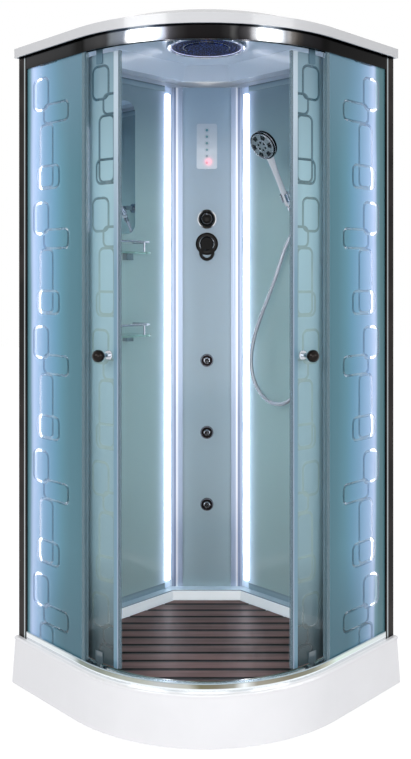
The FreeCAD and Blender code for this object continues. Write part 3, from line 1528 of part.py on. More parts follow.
def make_shelf_rails():
    """The wall brackets and the chrome gallery rails of the shelves."""
    rails = body("shelf_rails", CORNER)
    start = s.shelf_start + s.gallery_inset
    end = s.shelf_start + s.shelf_length - s.gallery_inset
    front = wall_face + s.shelf_depth - s.gallery_inset
    turn = s.shelf_round - s.gallery_inset
    for height in shelf_bases():
        rail_z = height + s.shelf_thickness + s.gallery_rise
        path = sketch_on(rails, "XY", rail_z)
        outline(path, [(start, wall_face), (start, front - turn), Arc(start + turn, front - turn, False),
                       (start + turn, front), (end - turn, front), Arc(end - turn, front - turn, False),
                       (end, front - turn), (end, wall_face)], closed=False)
        section = sketch_on(rails, "XZ", -wall_face)
        circle(section, start, rail_z, s.gallery_radius)
        follow(rails, section, path)
        posts = sketch_on(rails, "XY", height + s.shelf_thickness)
        for u in (start + turn, end - turn):
            circle(posts, u, front, s.gallery_radius)
        pad(rails, posts, s.gallery_rise)
        brackets = sketch_on(rails, "XZ", -wall_face)
        half = s.bracket_width / 2
        for u in (s.shelf_start + s.bracket_inset, s.shelf_start + s.shelf_length - s.bracket_inset):
            outline(brackets, box_points(u - half, height - s.bracket_height, u + half, height))
        pad(rails, brackets, s.bracket_depth, back=True)
    return rails


def make_mirror():
    """The mirror above the shelves."""
    glass = body("mirror", CORNER)
    face = sketch_on(glass, "XZ", -(wall_face + s.mirror_gap))
    outline(face, rounded_points(s.mirror_start, mirror_base, s.mirror_start + s.mirror_length,
                                 mirror_base + s.mirror_height, s.mirror_round))
    pad(glass, face, s.mirror_thickness, back=True)
    return glass


def make_post_screws():
    """The screws that hold the posts to the wall panels' edges."""
    screws = body("post_screws", CORNER)
    near = s.side - s.rail_inset - s.post_depth
    across = s.post_start + s.post_width - s.post_slot
    step = (post_height - s.screw_margin * 2) / (s.screw_rows - 1)
    rows = range(int(s.screw_rows.value))
    for plane, back in (("YZ", True), ("XZ", False)):
        heads = sketch_on(screws, plane, near if back else -near)
        for row in rows:
            circle(heads, across, s.tray_top + s.screw_margin + step * row, s.screw_radius)
        pad(screws, heads, s.screw_head_height, back=back)
    return screws


# Doors

def span(length, radius=None):
    """The angle in degrees that a length takes on the door's curve."""
    return length / (radius or door_outer) * (HALF_TURN / math.pi)


DOOR = {"y": centre_y, "turn": s.door_open_angle}
seal_start = span(s.door_meeting_gap / 2)
stile_start = seal_start + span(s.door_seal_width)
stile_end = stile_start + span(s.stile_width)
glass_start = stile_start + span(s.stile_width / 2)
glass_end = s.door_sweep
door_middle = door_outer - s.door_thickness / 2


def make_door_glass():
    """The curved sliding glass with its holes for the knob, hangers and guides."""
    glass = body("door_glass_right", DOOR)
    plan = sketch_on(glass, "XY", door_bottom)
    outline(plan, door_band(door_outer, door_inner, glass_start, glass_end))
    pad(glass, plan, door_height)
    cutters = [(s.knob_angle, s.knob_height, s.knob_hole_radius)]
    for angle in (s.front_hanger_angle, s.rear_hanger_angle):
        cutters.append((angle, hanger_bolt_z, s.hanger_hole_radius))
        cutters.append((angle, guide_bolt_z, s.hanger_hole_radius))
    for angle, height, radius in cutters:
        hole = sketch_on(glass, "XZ", 0)
        place_on_curve(hole, angle, 0)
        circle(hole, 0, height, radius)
        pocket(glass, hole, door_outer + s.stile_depth, back=True)
    return glass


def place_on_curve(sketch, angle, radius):
    """Turns a sketch so that it faces outwards at one angle of the door."""
    turned = FreeCAD.Rotation(Vector(0, 1, 0), angle.value)
    sketch.AttachmentOffset = FreeCAD.Placement(Vector(0, 0, 0), turned)
    bind(sketch, "AttachmentOffset.Rotation.Angle", angle)


hanger_bolt_z = door_top - s.hanger_drop / 2
guide_bolt_z = door_bottom + s.guide_height / 2


def make_door_stile():
    """The upright profile on the leading edge of the door."""
    stile = body("door_stile_right", DOOR)
    outer = door_middle + s.stile_depth / 2
    inner = door_middle - s.stile_depth / 2
    gap = s.fit_clearance
    first = glass_start - span(gap)
    plan = sketch_on(stile, "XY", door_bottom)
    outline(plan, [door_point(inner, stile_start), door_point(outer, stile_start), Arc(0, 0),
                   door_point(outer, stile_end), door_point(door_outer + gap, stile_end), Arc(0, 0, False),
                   door_point(door_outer + gap, first), door_point(door_inner - gap, first), Arc(0, 0),
                   door_point(door_inner - gap, stile_end), door_point(inner, stile_end), Arc(0, 0, False)])
    pad(stile, plan, door_height)
    return stile


def make_door_seal():
    """The magnetic seal in front of the stile."""
    seal = body("door_seal_right", DOOR)
    plan = sketch_on(seal, "XY", door_bottom)
    half = s.door_seal_depth / 2
    outline(plan, door_band(door_middle + half, door_middle - half, seal_start, stile_start))
    pad(seal, plan, door_height)
    return seal


def curve_frame(angle, radius, z=0):
    """A frame on the door's curve, facing outwards."""
    turned = s.door_open_angle + angle
    return {"x": radius * sine(turned), "y": centre_y - radius * cosine(turned), "z": z, "turn": turned}


def make_door_knob():
    """The round knob outside, its shank through the glass and the flat knob inside."""
    knob = node("door_knob_right")
    place(knob, **curve_frame(s.knob_angle, door_outer, s.knob_height))
    profile = sketch_on(knob, "XY")
    base = s.knob_base_radius
    neck = s.knob_neck_radius
    ball = s.knob_radius
    ball_y = s.knob_base_height + s.knob_neck_height + ball
    join = (ball * ball - neck * neck).root()
    shank = s.knob_hole_radius - s.fit_clearance
    back = s.door_thickness + s.fit_clearance
    thick = s.knob_base_height
    outline(profile, [(0, -ball_y - ball), Arc(0, -ball_y), (neck, join - ball_y), (neck, -thick),
                      (base - s.overrun, -thick), (base, -thick / 2), (base, 0), (shank, 0), (shank, back),
                      (base, back), (base, back + thick), (s.knob_back_radius, back + thick),
                      (s.knob_back_radius, back + thick * 3), (0, back + thick * 3)])
    revolve(knob, profile, "Y")
    return knob


axle_z = track_top + s.roller_radius
plate_out = s.fit_clearance
roller_out = s.door_inset - s.roller_inset - s.roller_width


def make_hanger(label, angle):
    """A hanger: a plate on the glass, its bolt and cap, and the roller's axle."""
    hanger = doc.addObject("PartDesign::Body", label)
    place(hanger, **curve_frame(angle, door_outer, 0))
    half = s.hanger_width / 2
    plate = sketch_on(hanger, "XZ", plate_out)
    outline(plate, rounded_points(-half, door_top - s.hanger_drop, half, axle_z + s.hanger_rise,
                                  s.hanger_cap_height))
    pad(hanger, plate, s.hanger_thickness)
    boss = sketch_on(hanger, "XZ", plate_out)
    circle(boss, 0, axle_z, s.hanger_hole_radius)
    pad(hanger, boss, roller_out - plate_out - s.fit_clearance)
    axle = sketch_on(hanger, "XZ", plate_out)
    circle(axle, 0, axle_z, s.axle_radius)
    pad(hanger, axle, roller_out - plate_out + s.roller_width + s.fit_clearance)
    head = sketch_on(hanger, "XZ", roller_out + s.roller_width + s.fit_clearance)
    circle(head, 0, axle_z, s.axle_head_radius)
    pad(hanger, head, s.axle_head_height)
    add_clamp(hanger, hanger_bolt_z)
    return hanger


def add_clamp(owner, height):
    """The bolt through the glass and the round cap inside."""
    bolt = sketch_on(owner, "XZ", plate_out)
    circle(bolt, 0, height, s.hanger_bolt_radius)
    pad(owner, bolt, plate_out + s.door_thickness + s.fit_clearance * 2, back=True)
    cap = sketch_on(owner, "XZ", -(s.door_thickness + s.fit_clearance))
    circle(cap, 0, height, s.hanger_cap_radius)
    pad(owner, cap, s.hanger_cap_height, back=True)


def make_guide(label, angle):
    """A guide: a plate on the glass with a finger in the bottom rail."""
    guide = doc.addObject("PartDesign::Body", label)
    place(guide, **curve_frame(angle, door_outer, 0))
    half = s.guide_width / 2
    finger = s.guide_finger / 2
    low = s.tray_top + s.rail_web + s.rail_web
    plate = sketch_on(guide, "XZ", plate_out)
    outline(plate, [(-finger, low), (finger, low), (finger, door_bottom), (half, door_bottom),
                    (half, door_bottom + s.guide_height), (-half, door_bottom + s.guide_height),
                    (-half, door_bottom), (-finger, door_bottom)])
    pad(guide, plate, s.guide_thickness)
    add_clamp(guide, guide_bolt_z)
    return guide


def make_pair(label, maker):
    """Two like fittings of one door, in one node."""
    pair = node(label, "Part::Compound")
    pair.Links = [maker("%s_front" % label, s.front_hanger_angle),
                  maker("%s_rear" % label, s.rear_hanger_angle)]
    return pair


def make_roller(label, angle):
    """A crowned roller that runs on the top rail's track."""
    roller = node(label)
    place(roller, **curve_frame(angle, door_outer + roller_out, axle_z))
    profile = sketch_on(roller, "XY")
    wide = s.roller_width
    bore = s.axle_radius + s.axle_clearance
    edge = s.roller_flange
    outline(profile, [(bore, 0), (bore, -wide), (s.roller_radius - edge, -wide),
                      (s.roller_radius, edge - wide), (s.roller_radius, -edge), (s.roller_radius - edge, 0)])
    revolve(roller, profile, "Y")
    return roller


def check_document():
    """Stops if a feature failed or a piece has no sound shape."""
    for thing in doc.Objects:
        if "Invalid" in thing.State or "Error" in thing.State:
            raise RuntimeError("%s failed: %s" % (thing.Label, thing.State))
    for thing in NODES:
        if thing.Shape.isNull() or not thing.Shape.isValid():
            raise RuntimeError("%s has no sound shape" % thing.Label)


def export_parts():
    """Writes each piece to its own file."""
    os.makedirs("parts", exist_ok=True)
    for thing in NODES:
        thing.Shape.exportStep("parts/%s.step" % thing.Label)


def build_cabin():
    """Builds every piece of the cabin."""
    make_tray()
    make_skirt()
    make_frame()
    make_feet()
    make_trap()
    make_drain_cover()
    make_duckboard()
    make_bottom_rail()
    make_top_rail()
    make_posts()
    make_fixed_glass()
    make_fixed_seals()
    make_wall_panels()
    make_wall_trims()
    make_column_panel()
    make_column_profiles()
    make_light_strips()
    make_roof()
    make_rain_ring()
    make_rain_plate()
    make_control_panel()
    make_control_box()
    make_escutcheons()
    make_valve_body()
    make_diverter_knob()
    make_mixer_cap()
    make_mixer_lever()
    make_jet_housings()
    for index, height in enumerate(jet_heights(), start=1):
        make_jet_nozzle(index, height)
    make_supply_pipes()
    make_shower_bracket()
    make_holder_cup()
    make_hand_shower()
    make_spray_face()
    make_hose_outlet()
    make_hose()
    make_shelf_glasses()
    make_shelf_rails()
    make_mirror()
    make_post_screws()
    mirror("door_glass_left", make_door_glass())
    mirror("door_stile_left", make_door_stile())
    mirror("door_seal_left", make_door_seal())
    mirror("door_knob_left", make_door_knob())
    mirror("door_hangers_left", make_pair("door_hangers_right", make_hanger))
    mirror("door_guides_left", make_pair("door_guides_right", make_guide))
    for place_name, angle in (("front", s.front_hanger_angle), ("rear", s.rear_hanger_angle)):
        mirror("roller_left_%s" % place_name, make_roller("roller_right_%s" % place_name, angle))


build_cabin()
doc.recompute()
check_document()
export_parts()
print("%d pieces" % len(NODES))
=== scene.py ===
"""Looks for the quadrant steam shower cabin: finishes on the frame's nodes and the fine pieces on them.

The frame gives every place. Lengths are in metres. X runs to the right seen from the entry, Y away
from the viewer and Z up. The curved front is centred on a vertical line on the cabin's middle plane,
and the two walls meet in the corner behind it.
"""

import json
import logging
import math
from dataclasses import dataclass
from enum import Enum
from typing import Optional, Sequence, Union

import bmesh
import bpy
import numpy as np
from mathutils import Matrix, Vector


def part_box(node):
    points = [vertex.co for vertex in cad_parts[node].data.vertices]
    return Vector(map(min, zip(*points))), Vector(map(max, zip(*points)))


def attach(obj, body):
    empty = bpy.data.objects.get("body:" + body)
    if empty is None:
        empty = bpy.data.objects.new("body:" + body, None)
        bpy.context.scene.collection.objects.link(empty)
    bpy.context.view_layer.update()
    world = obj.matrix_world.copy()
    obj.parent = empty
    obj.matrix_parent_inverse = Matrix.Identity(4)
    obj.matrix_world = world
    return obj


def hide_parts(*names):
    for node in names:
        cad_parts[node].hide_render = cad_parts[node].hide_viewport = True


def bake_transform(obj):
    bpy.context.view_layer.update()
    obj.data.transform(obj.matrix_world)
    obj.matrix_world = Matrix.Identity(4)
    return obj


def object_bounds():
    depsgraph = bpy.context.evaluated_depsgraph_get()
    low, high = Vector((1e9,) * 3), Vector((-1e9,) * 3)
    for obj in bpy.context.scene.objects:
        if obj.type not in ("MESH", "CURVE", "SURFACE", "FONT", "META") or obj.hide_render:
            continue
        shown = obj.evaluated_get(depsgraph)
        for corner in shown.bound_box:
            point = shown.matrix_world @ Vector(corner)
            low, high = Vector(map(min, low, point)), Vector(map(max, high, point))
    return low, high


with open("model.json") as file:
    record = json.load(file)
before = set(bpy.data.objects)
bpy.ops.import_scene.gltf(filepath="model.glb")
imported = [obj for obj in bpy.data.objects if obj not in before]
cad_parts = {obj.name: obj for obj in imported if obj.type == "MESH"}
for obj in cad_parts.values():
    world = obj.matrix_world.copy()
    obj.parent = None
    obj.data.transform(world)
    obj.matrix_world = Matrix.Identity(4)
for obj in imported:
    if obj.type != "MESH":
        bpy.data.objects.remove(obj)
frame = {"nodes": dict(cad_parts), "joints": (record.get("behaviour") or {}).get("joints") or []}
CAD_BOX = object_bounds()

logging.basicConfig(level=logging.INFO, format="%(levelname)s %(message)s")
log = logging.getLogger("shower_cabin")

Triple = tuple[float, float, float]
Colour = Triple
Bands = tuple[tuple[float, str], ...]
Rings = tuple[tuple[float, int], ...]
Profile = tuple[tuple[float, float], ...]
Number = Union[float, "Signal"]

ROOT_HALF = math.sqrt(0.5)
FULL_TURN = 2 * math.pi


def srgb(code: str) -> Colour:
    """Turns a written colour such as 8aa1b3 into the linear colour that a shader takes.

    Args:
        code: Six hexadecimal digits, red first.

    Returns:
        The colour's three linear parts.
    """
    parts = [int(code[i:i + 2], 16) / 255 for i in (0, 2, 4)]
    return tuple(p / 12.92 if p <= 0.04045 else ((p + 0.055) / 1.055) ** 2.4 for p in parts)


def scaled(colour: Colour, factor: float) -> Colour:
    """A linear colour made darker or paler, with no part over one."""
    return tuple(min(1.0, part * factor) for part in colour)


def spread(bands: Bands, first: float, last: float) -> list[tuple[float, Colour]]:
    """Turns places and written colours into the stops of a ramp.

    Args:
        bands: The places and their written colours, from low to high.
        first: The place that a signal of 0 stands for.
        last: The place that a signal of 1 stands for.

    Returns:
        Places from 0 to 1 and their linear colours.
    """
    return [((place - first) / (last - first), srgb(code)) for place, code in bands]


# Places in the cabin

@dataclass(frozen=True)
class Plan:
    """The cabin's plan, read from the frame.

    Attributes:
        bow_y: Where the vertical line through the curved front's centre stands.
        corner_y: Where the two walls' outer faces meet.
    """

    bow_y: float
    corner_y: float

    @classmethod
    def from_frame(cls) -> "Plan":
        """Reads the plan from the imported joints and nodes."""
        slide = next(j for j in frame["joints"] if j["name"] == "door_left_slide")
        return cls(slide["pos_m"][1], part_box("roof")[1].y)

    def wall_point(self, along: float, height: float, out: float) -> Triple:
        """A point by the right wall.

        Args:
            along: Distance from the corner along the right wall.
            height: Height over the floor.
            out: Distance out from the wall's outer face.

        Returns:
            The point in the cabin's own frame.
        """
        return ((along - out) * ROOT_HALF, self.corner_y - (along + out) * ROOT_HALF, height)


PLAN = Plan.from_frame()


@dataclass(frozen=True)
class Axes:
    """A local frame in the cabin's frame.

    Attributes:
        origin: Its origin.
        x: Its first unit axis, the one that turned pieces turn about.
        y: Its second.
        z: Its third.
    """

    origin: np.ndarray
    x: np.ndarray
    y: np.ndarray
    z: np.ndarray

    def place(self, points: np.ndarray) -> np.ndarray:
        """Carries local points, in the array's last axis, into the cabin's frame."""
        return self.origin + points @ np.stack([self.x, self.y, self.z])

    def moved(self, distance: float) -> "Axes":
        """The same frame further along its local x."""
        return Axes(self.origin + distance * self.x, self.x, self.y, self.z)


def facing_front(x: float, y: float, z: float) -> Axes:
    """The frame of a fitting on the column: local x runs out of the column, local z up."""
    return Axes(np.array([x, y, z]), np.array([0.0, -1.0, 0.0]), np.array([1.0, 0.0, 0.0]),
                np.array([0.0, 0.0, 1.0]))


def facing_down(x: float, y: float, z: float) -> Axes:
    """The frame of a fitting in the ceiling: local x runs down."""
    return Axes(np.array([x, y, z]), np.array([0.0, 0.0, -1.0]), np.array([1.0, 0.0, 0.0]),
                np.array([0.0, -1.0, 0.0]))


# Node graphs

@dataclass
class Signal:
    """A value that varies over a surface, combined by plain arithmetic.

    Attributes:
        graph: The graph that it belongs to.
        socket: The node's output that carries it.
    """

    graph: "Graph"
    socket: bpy.types.NodeSocket

    def __add__(self, other: Number) -> "Signal":
        """The sum."""
        return self.graph.math("ADD", self, other)

    def __radd__(self, other: Number) -> "Signal":
        """The sum, with the number first."""
        return self.graph.math("ADD", other, self)

    def __sub__(self, other: Number) -> "Signal":
        """The difference."""
        return self.graph.math("SUBTRACT", self, other)

    def __rsub__(self, other: Number) -> "Signal":
        """The difference from a number."""
        return self.graph.math("SUBTRACT", other, self)

    def __mul__(self, other: Number) -> "Signal":
        """The product."""
        return self.graph.math("MULTIPLY", self, other)

    def __rmul__(self, other: Number) -> "Signal":
        """The product, with the number first."""
        return self.graph.math("MULTIPLY", other, self)

    def __truediv__(self, other: Number) -> "Signal":
        """The quotient."""
        return self.graph.math("DIVIDE", self, other)

    def size(self) -> "Signal":
        """The value without its sign."""
        return self.graph.math("ABSOLUTE", self)

    def at_least(self, other: Number) -> "Signal":
        """The larger of two values."""
        return self.graph.math("MAXIMUM", self, other)

    def at_most(self, other: Number) -> "Signal":
        """The smaller of two values."""
        return self.graph.math("MINIMUM", self, other)

    def power(self, exponent: float) -> "Signal":
        """The value raised to a power."""
        return self.graph.math("POWER", self, exponent)

    def wrapped(self, period: float) -> "Signal":
        """The value repeated between minus and plus half a period."""
        return self.graph.math("WRAP", self, period / 2, -period / 2)

    def share(self) -> "Signal":
        """The value held between 0 and 1."""
        return self.graph.math("ADD", self, 0.0, clamp=True)

    def rise(self, start: float, length: float) -> "Signal":
        """Nought up to the start, one a length above it, and even in between."""
        return ((self - start) / length).share()

    def fall(self, start: float, length: float) -> "Signal":
        """Nought down to the start, one a length below it, and even in between."""
        return ((start - self) / length).share()

    def bell(self, centre: float, width: float) -> "Signal":
        """A soft bump, one at the centre: e to minus the squared distance over the width."""
        distance = (self - centre) / width
        return self.graph.math("EXPONENT", distance * distance * -1.0)


class Graph:
    """One node material, built round a Principled shader."""

    # The Mix node's sockets where it mixes colours
    MIX_SHARE, MIX_LOW, MIX_HIGH, MIX_RESULT = 0, 6, 7, 2

    def __init__(self, name: str) -> None:
        """Starts an empty material.

        Args:
            name: The material's name.
        """
        self.material = bpy.data.materials.new(name)
        self.material.use_nodes = True
        self.nodes = self.material.node_tree.nodes
        self.links = self.material.node_tree.links
        self.nodes.clear()
        self.shader = self.nodes.new("ShaderNodeBsdfPrincipled")
        output = self.nodes.new("ShaderNodeOutputMaterial")
        self.links.new(self.shader.outputs["BSDF"], output.inputs["Surface"])

    def math(self, operation: str, *values: Number, clamp: bool = False) -> Signal:
        """Adds a Math node.

        Args:
            operation: The node's operation.
            values: Its inputs, numbers or signals.
            clamp: Whether its result is held between 0 and 1.

        Returns:
            The node's result.
        """
        node = self.nodes.new("ShaderNodeMath")
        node.operation = operation
        node.use_clamp = clamp
        for socket, value in zip(node.inputs, values):
            if isinstance(value, Signal):
                self.links.new(value.socket, socket)
            else:
                socket.default_value = value
        return Signal(self, node.outputs[0])

    def coordinate(self, kind: str) -> bpy.types.NodeSocket:
        """The surface point's place, of the kind Object or UV."""
        return self.nodes.new("ShaderNodeTexCoord").outputs[kind]

    def parts(self, socket: bpy.types.NodeSocket,
              splitter: str = "ShaderNodeSeparateXYZ") -> tuple[Signal, ...]:
        """Splits a vector or a colour.

        Args:
            socket: The vector or colour.
            splitter: The node that splits it.

        Returns:
            Its three parts.
        """
        split = self.nodes.new(splitter)
        self.links.new(socket, split.inputs[0])
        return tuple(Signal(self, output) for output in split.outputs)

    def place(self) -> tuple[Signal, ...]:
        """The surface point's x, y and z in Object coordinates."""
        return self.parts(self.coordinate("Object"))

    def uv(self) -> tuple[Signal, ...]:
        """The surface point's two shares on the piece's own UV map."""
        return self.parts(self.coordinate("UV"))[:2]

    def facing(self) -> tuple[Signal, ...]:
        """The x, y and z of the direction that the surface faces."""
        return self.parts(self.nodes.new("ShaderNodeNewGeometry").outputs["True Normal"])

    def noise(self, scale: float, stretch: Triple = (1, 1, 1), detail: float = 3) -> Signal:
        """Adds noise on Object coordinates.

        Args:
            scale: The noise's scale.
            stretch: The scale along each axis.
            detail: The noise's octaves.

        Returns:
            The noise, about a half on average.
        """
        mapping = self.nodes.new("ShaderNodeMapping")
        mapping.inputs["Scale"].default_value = stretch
        texture = self.nodes.new("ShaderNodeTexNoise")
        texture.inputs["Scale"].default_value = scale
        texture.inputs["Detail"].default_value = detail
        self.links.new(self.coordinate("Object"), mapping.inputs["Vector"])
        self.links.new(mapping.outputs["Vector"], texture.inputs["Vector"])
        return Signal(self, texture.outputs["Fac"])

    def sparkle(self, scale: float) -> Signal:
        """Adds random flakes: a value for each cell of a Voronoi pattern on Object coordinates.

        Args:
            scale: The pattern's scale.

        Returns:
            The cell's value, from 0 to 1.
        """
        texture = self.nodes.new("ShaderNodeTexVoronoi")
        texture.inputs["Scale"].default_value = scale
        self.links.new(self.coordinate("Object"), texture.inputs["Vector"])
        return self.parts(texture.outputs["Color"], "ShaderNodeSeparateColor")[0]

    def ramp(self, signal: Signal, stops: Sequence[tuple[float, Colour]]) -> Signal:
        """Colours a signal.

        Args:
            signal: A value from 0 to 1.
            stops: Places and their linear colours, from low to high.

        Returns:
            The colour.
        """
        node = self.nodes.new("ShaderNodeValToRGB")
        self.links.new(signal.socket, node.inputs[0])
        elements = node.color_ramp.elements
        elements.remove(elements[1])
        elements[0].position, elements[0].color = stops[0][0], (*stops[0][1], 1)
        for place, colour in stops[1:]:
            elements.new(place).color = (*colour, 1)
        return Signal(self, node.outputs[0])

    def mix(self, share: Number, low: Union[Colour, Signal], high: Union[Colour, Signal]) -> Signal:
        """Mixes two colours.

        Args:
            share: How much of the second colour shows.
            low: The first colour.
            high: The second colour.

        Returns:
            The mixed colour.
        """
        node = self.nodes.new("ShaderNodeMix")
        node.data_type = "RGBA"
        for index, value in ((self.MIX_SHARE, share), (self.MIX_LOW, low), (self.MIX_HIGH, high)):
            socket = node.inputs[index]
            if isinstance(value, Signal):
                self.links.new(value.socket, socket)
            else:
                socket.default_value = value if isinstance(value, (int, float)) else (*value, 1)
        return Signal(self, node.outputs[self.MIX_RESULT])

    def feed(self, **inputs: Union[Number, Colour]) -> "Graph":
        """Sets the shader's inputs, named in small letters with underscores.

        Args:
            inputs: Numbers and colours for the sockets themselves, and signals to link.

        Returns:
            The graph, for the next step.
        """
        for key, value in inputs.items():
            name = key.replace("_", " ").title().replace("Ior", "IOR")
            socket = self.shader.inputs[name]
            if isinstance(value, Signal):
                self.links.new(value.socket, socket)
            elif isinstance(value, tuple):
                socket.default_value = (*value, 1)
            else:
                socket.default_value = value
        return self

    def bump(self, height: Signal, strength: float, distance: float) -> "Graph":
        """Roughens the surface by a height signal.

        Args:
            height: The height, from 0 to 1.
            strength: How much of it shows.
            distance: What a height of 1 measures, in metres.

        Returns:
            The graph, for the next step.
        """
        node = self.nodes.new("ShaderNodeBump")
        node.inputs["Strength"].default_value = strength
        node.inputs["Distance"].default_value = distance
        self.links.new(height.socket, node.inputs["Height"])
        self.links.new(node.outputs["Normal"], self.shader.inputs["Normal"])
        return self

    def see_through(self) -> "Graph":
        """Lets light and view rays pass where the surface is clear."""
        self.material.blend_method = "HASHED"
        return self


def bow_degrees(x: Signal, y: Signal) -> Signal:
    """The angle of a point about the front's centre, from the middle of the front, right positive."""
    return x.graph.math("ARCTAN2", x, PLAN.bow_y - y) * (360 / FULL_TURN)


def wall_reach(x: Signal, y: Signal) -> Signal:
    """The distance from the corner along the nearer wall."""
    return ((PLAN.corner_y - y) + x.size()) * ROOT_HALF


# How sharply the faces that look inwards are told from the others
INWARD_GAIN = 12.0


def looking_in(graph: Graph) -> Signal:
    """Whether a face looks towards the vertical line through the front's centre.

    Args:
        graph: The material's graph.

    Returns:
        A signal above one where it looks towards that line, and below nought where away.
    """
    x, y, _ = graph.place()
    facing_x, facing_y, _ = graph.facing()
    return (facing_x * x + facing_y * (y - PLAN.bow_y)) * -INWARD_GAIN


def seen_rays(nodes: bpy.types.Nodes, links: bpy.types.NodeLinks) -> bpy.types.NodeSocket:
    """Tells the rays that show a thing to the view from those that light it.

    Args:
        nodes: The material's or the world's nodes.
        links: Its links.

    Returns:
        A socket with one for a ray that shows it straight, mirrored or through glass, else zero.
    """
    path = nodes.new("ShaderNodeLightPath")
    seen = path.outputs["Is Camera Ray"]
    for kind in ("Is Glossy Ray", "Is Transmission Ray"):
        larger = nodes.new("ShaderNodeMath")
        larger.operation = "MAXIMUM"
        links.new(seen, larger.inputs[0])
        links.new(path.outputs[kind], larger.inputs[1])
        seen = larger.outputs[0]
    return seen


# Finishes

class Look:
    """What every finish has in common: its fields paint one node graph."""

    def paint(self, graph: Graph) -> None:
        """Feeds the graph, in each finish in its own way.

        Args:
            graph: The material's graph.
        """
        raise NotImplementedError

    def build(self, name: str) -> bpy.types.Material:
        """Makes the finish's material.

        Args:
            name: The material's name.

        Returns:
            The new material.
        """
        graph = Graph(name)
        self.paint(graph)
        return graph.material


@dataclass(frozen=True)
class Gloss(Look):
    """Moulded or enamelled plastic: a clear colour with a faint cloud and a fine orange peel.

    Attributes:
        colour: The plastic's colour.
        roughness: Its roughness.
        coat: How much clear coat it has.
        cloud: How far the colour varies, as a share.
        peel: How much of the orange peel shows.
        shine: Its specular level.
    """

    colour: Colour
    roughness: float = 0.22
    coat: float = 0.4
    cloud: float = 0.04
    peel: float = 0.05
    shine: float = 0.5

    def paint(self, graph: Graph) -> None:
        """Clouds the colour and peels the coat.

        Args:
            graph: The material's graph.
        """
        cloud = graph.noise(5.0, detail=4)
        tones = [(0.35, scaled(self.colour, 1 - self.cloud)), (0.65, scaled(self.colour, 1 + self.cloud))]
        graph.feed(base_color=graph.ramp(cloud, tones),
                   roughness=cloud * 0.08 + (self.roughness - 0.04), coat_weight=self.coat,
                   coat_roughness=0.06, specular_ior_level=self.shine)
        graph.bump(graph.noise(260.0, detail=2), self.peel, 0.0004)


@dataclass(frozen=True)
class Metal(Look):
    """Plated or polished metal: fine streaks along one axis and a few duller clouds.

    Attributes:
        colour: The metal's colour.
        roughness: Its roughness.
        streak: The scale of the streaks along each axis.
        wear: How much the roughness varies.
    """

    colour: Colour
    roughness: float = 0.12
    streak: Triple = (1, 1, 1)
    wear: float = 0.06

    def paint(self, graph: Graph) -> None:
        """Streaks and clouds the metal.

        Args:
            graph: The material's graph.
        """
        cloud = graph.noise(9.0, detail=4)
        grain = graph.noise(420.0, self.streak, detail=2)
        tones = [(0.3, scaled(self.colour, 0.86)), (0.6, self.colour)]
        graph.feed(base_color=graph.ramp(cloud, tones), metallic=1.0,
                   roughness=cloud * self.wear + grain * self.wear + (self.roughness - self.wear))
        graph.bump(grain, 0.04, 0.0002)


@dataclass(frozen=True)
class FrontRail(Look):
    """Polished extrusion round the front, with painted reflections laid along it as dark and light bands,
    painted shade at its edges and a painted highlight along its top.

    Attributes:
        bands: Colours of the painted reflections against the angle from the middle of the front, in
            degrees, right positive.
        low: The height of the lower edge.
        high: The height of the upper edge.
        span: The angle that the bands end at, on both sides.
        shade: How much darker the painted shade makes the edges than the middle of the height.
        lip: The share of the height that is a pale lip, from below.
        crest: The share of the height that the painted highlight along the top starts at.
        swirl: How far the bands waver to either side, in degrees.
        edge_shade_tone: The colour of the painted shade at the edges.
        lip_tone: The lip's colour.
        top_highlight_tone: The colour of the painted highlight along the top.
    """

    bands: Bands
    low: float
    high: float
    span: float = 80.0
    shade: float = 0.5
    lip: float = 0.0
    crest: float = 2.0
    swirl: float = 1.5
    edge_shade_tone: Colour = srgb("0c0a09")
    lip_tone: Colour = srgb("e4e9ec")
    top_highlight_tone: Colour = srgb("b4c6cf")

    def paint(self, graph: Graph) -> None:
        """Lays the painted reflections along the rail, paints shade on its edges and adds the lip and the
        painted highlight along the top.

        Args:
            graph: The material's graph.
        """
        x, y, z = graph.place()
        swirl = graph.noise(9.0, (1, 1, 2), detail=3) * (2 * self.swirl) - self.swirl
        angle = ((bow_degrees(x, y) + swirl) / (2 * self.span) + 0.5).share()
        stops = spread(self.bands, -self.span, self.span)
        height = z.rise(self.low, self.high - self.low)
        edge = (height - 0.5).size() * 2.0
        dark = (edge.power(4.0) * self.shade).share()
        brushed = graph.noise(60.0, (1, 1, 0.1))
        # Painted reflections from the bands, darkened towards the upper and lower edges as painted shade.
        tone = graph.mix(dark, graph.ramp(angle, stops), self.edge_shade_tone)
        tone = graph.mix(height.fall(self.lip, 0.06), tone, self.lip_tone)
        # Painted highlight: a pale line along the top of the rail.
        crest = height.rise(self.crest, 0.04)
        graph.feed(base_color=graph.mix(crest, tone, self.top_highlight_tone), metallic=1.0 - crest * 0.9,
                   roughness=brushed * 0.08 + 0.1)


@dataclass(frozen=True)
class DarkPost(Look):
    """Dark chromed post with soft light and dark stretches of painted reflection, and a painted highlight
    along the edge at its front.

    Attributes:
        deep: The colour of the dark stretches of painted reflection.
        pale: The colour of the light stretches of painted reflection.
        arris_highlight: The colour of the painted highlight along the edge.
        arris_x: How far from the middle plane it stands.
        arris_width: How wide it shows.
    """

    deep: Colour
    pale: Colour
    arris_highlight: Colour
    arris_x: float = 0.5985
    arris_width: float = 0.0018

    def paint(self, graph: Graph) -> None:
        """Spreads the painted reflections up the post and adds the painted highlight along its edge.

        Args:
            graph: The material's graph.
        """
        x = graph.place()[0]
        # Painted reflection: dark and light stretches up the post.
        stretch = graph.noise(3.4, (1.2, 1.2, 1.0), detail=5)
        tone = graph.ramp(stretch, [(0.42, self.deep), (0.54, self.pale), (0.66, self.deep)])
        # Painted highlight: a bright line along the post's front edge.
        bright = x.size().bell(self.arris_x, self.arris_width)
        graph.feed(base_color=graph.mix(bright, tone, self.arris_highlight), metallic=1.0,
                   roughness=graph.noise(80.0, (1, 1, 0.05)) * 0.1 + 0.12)


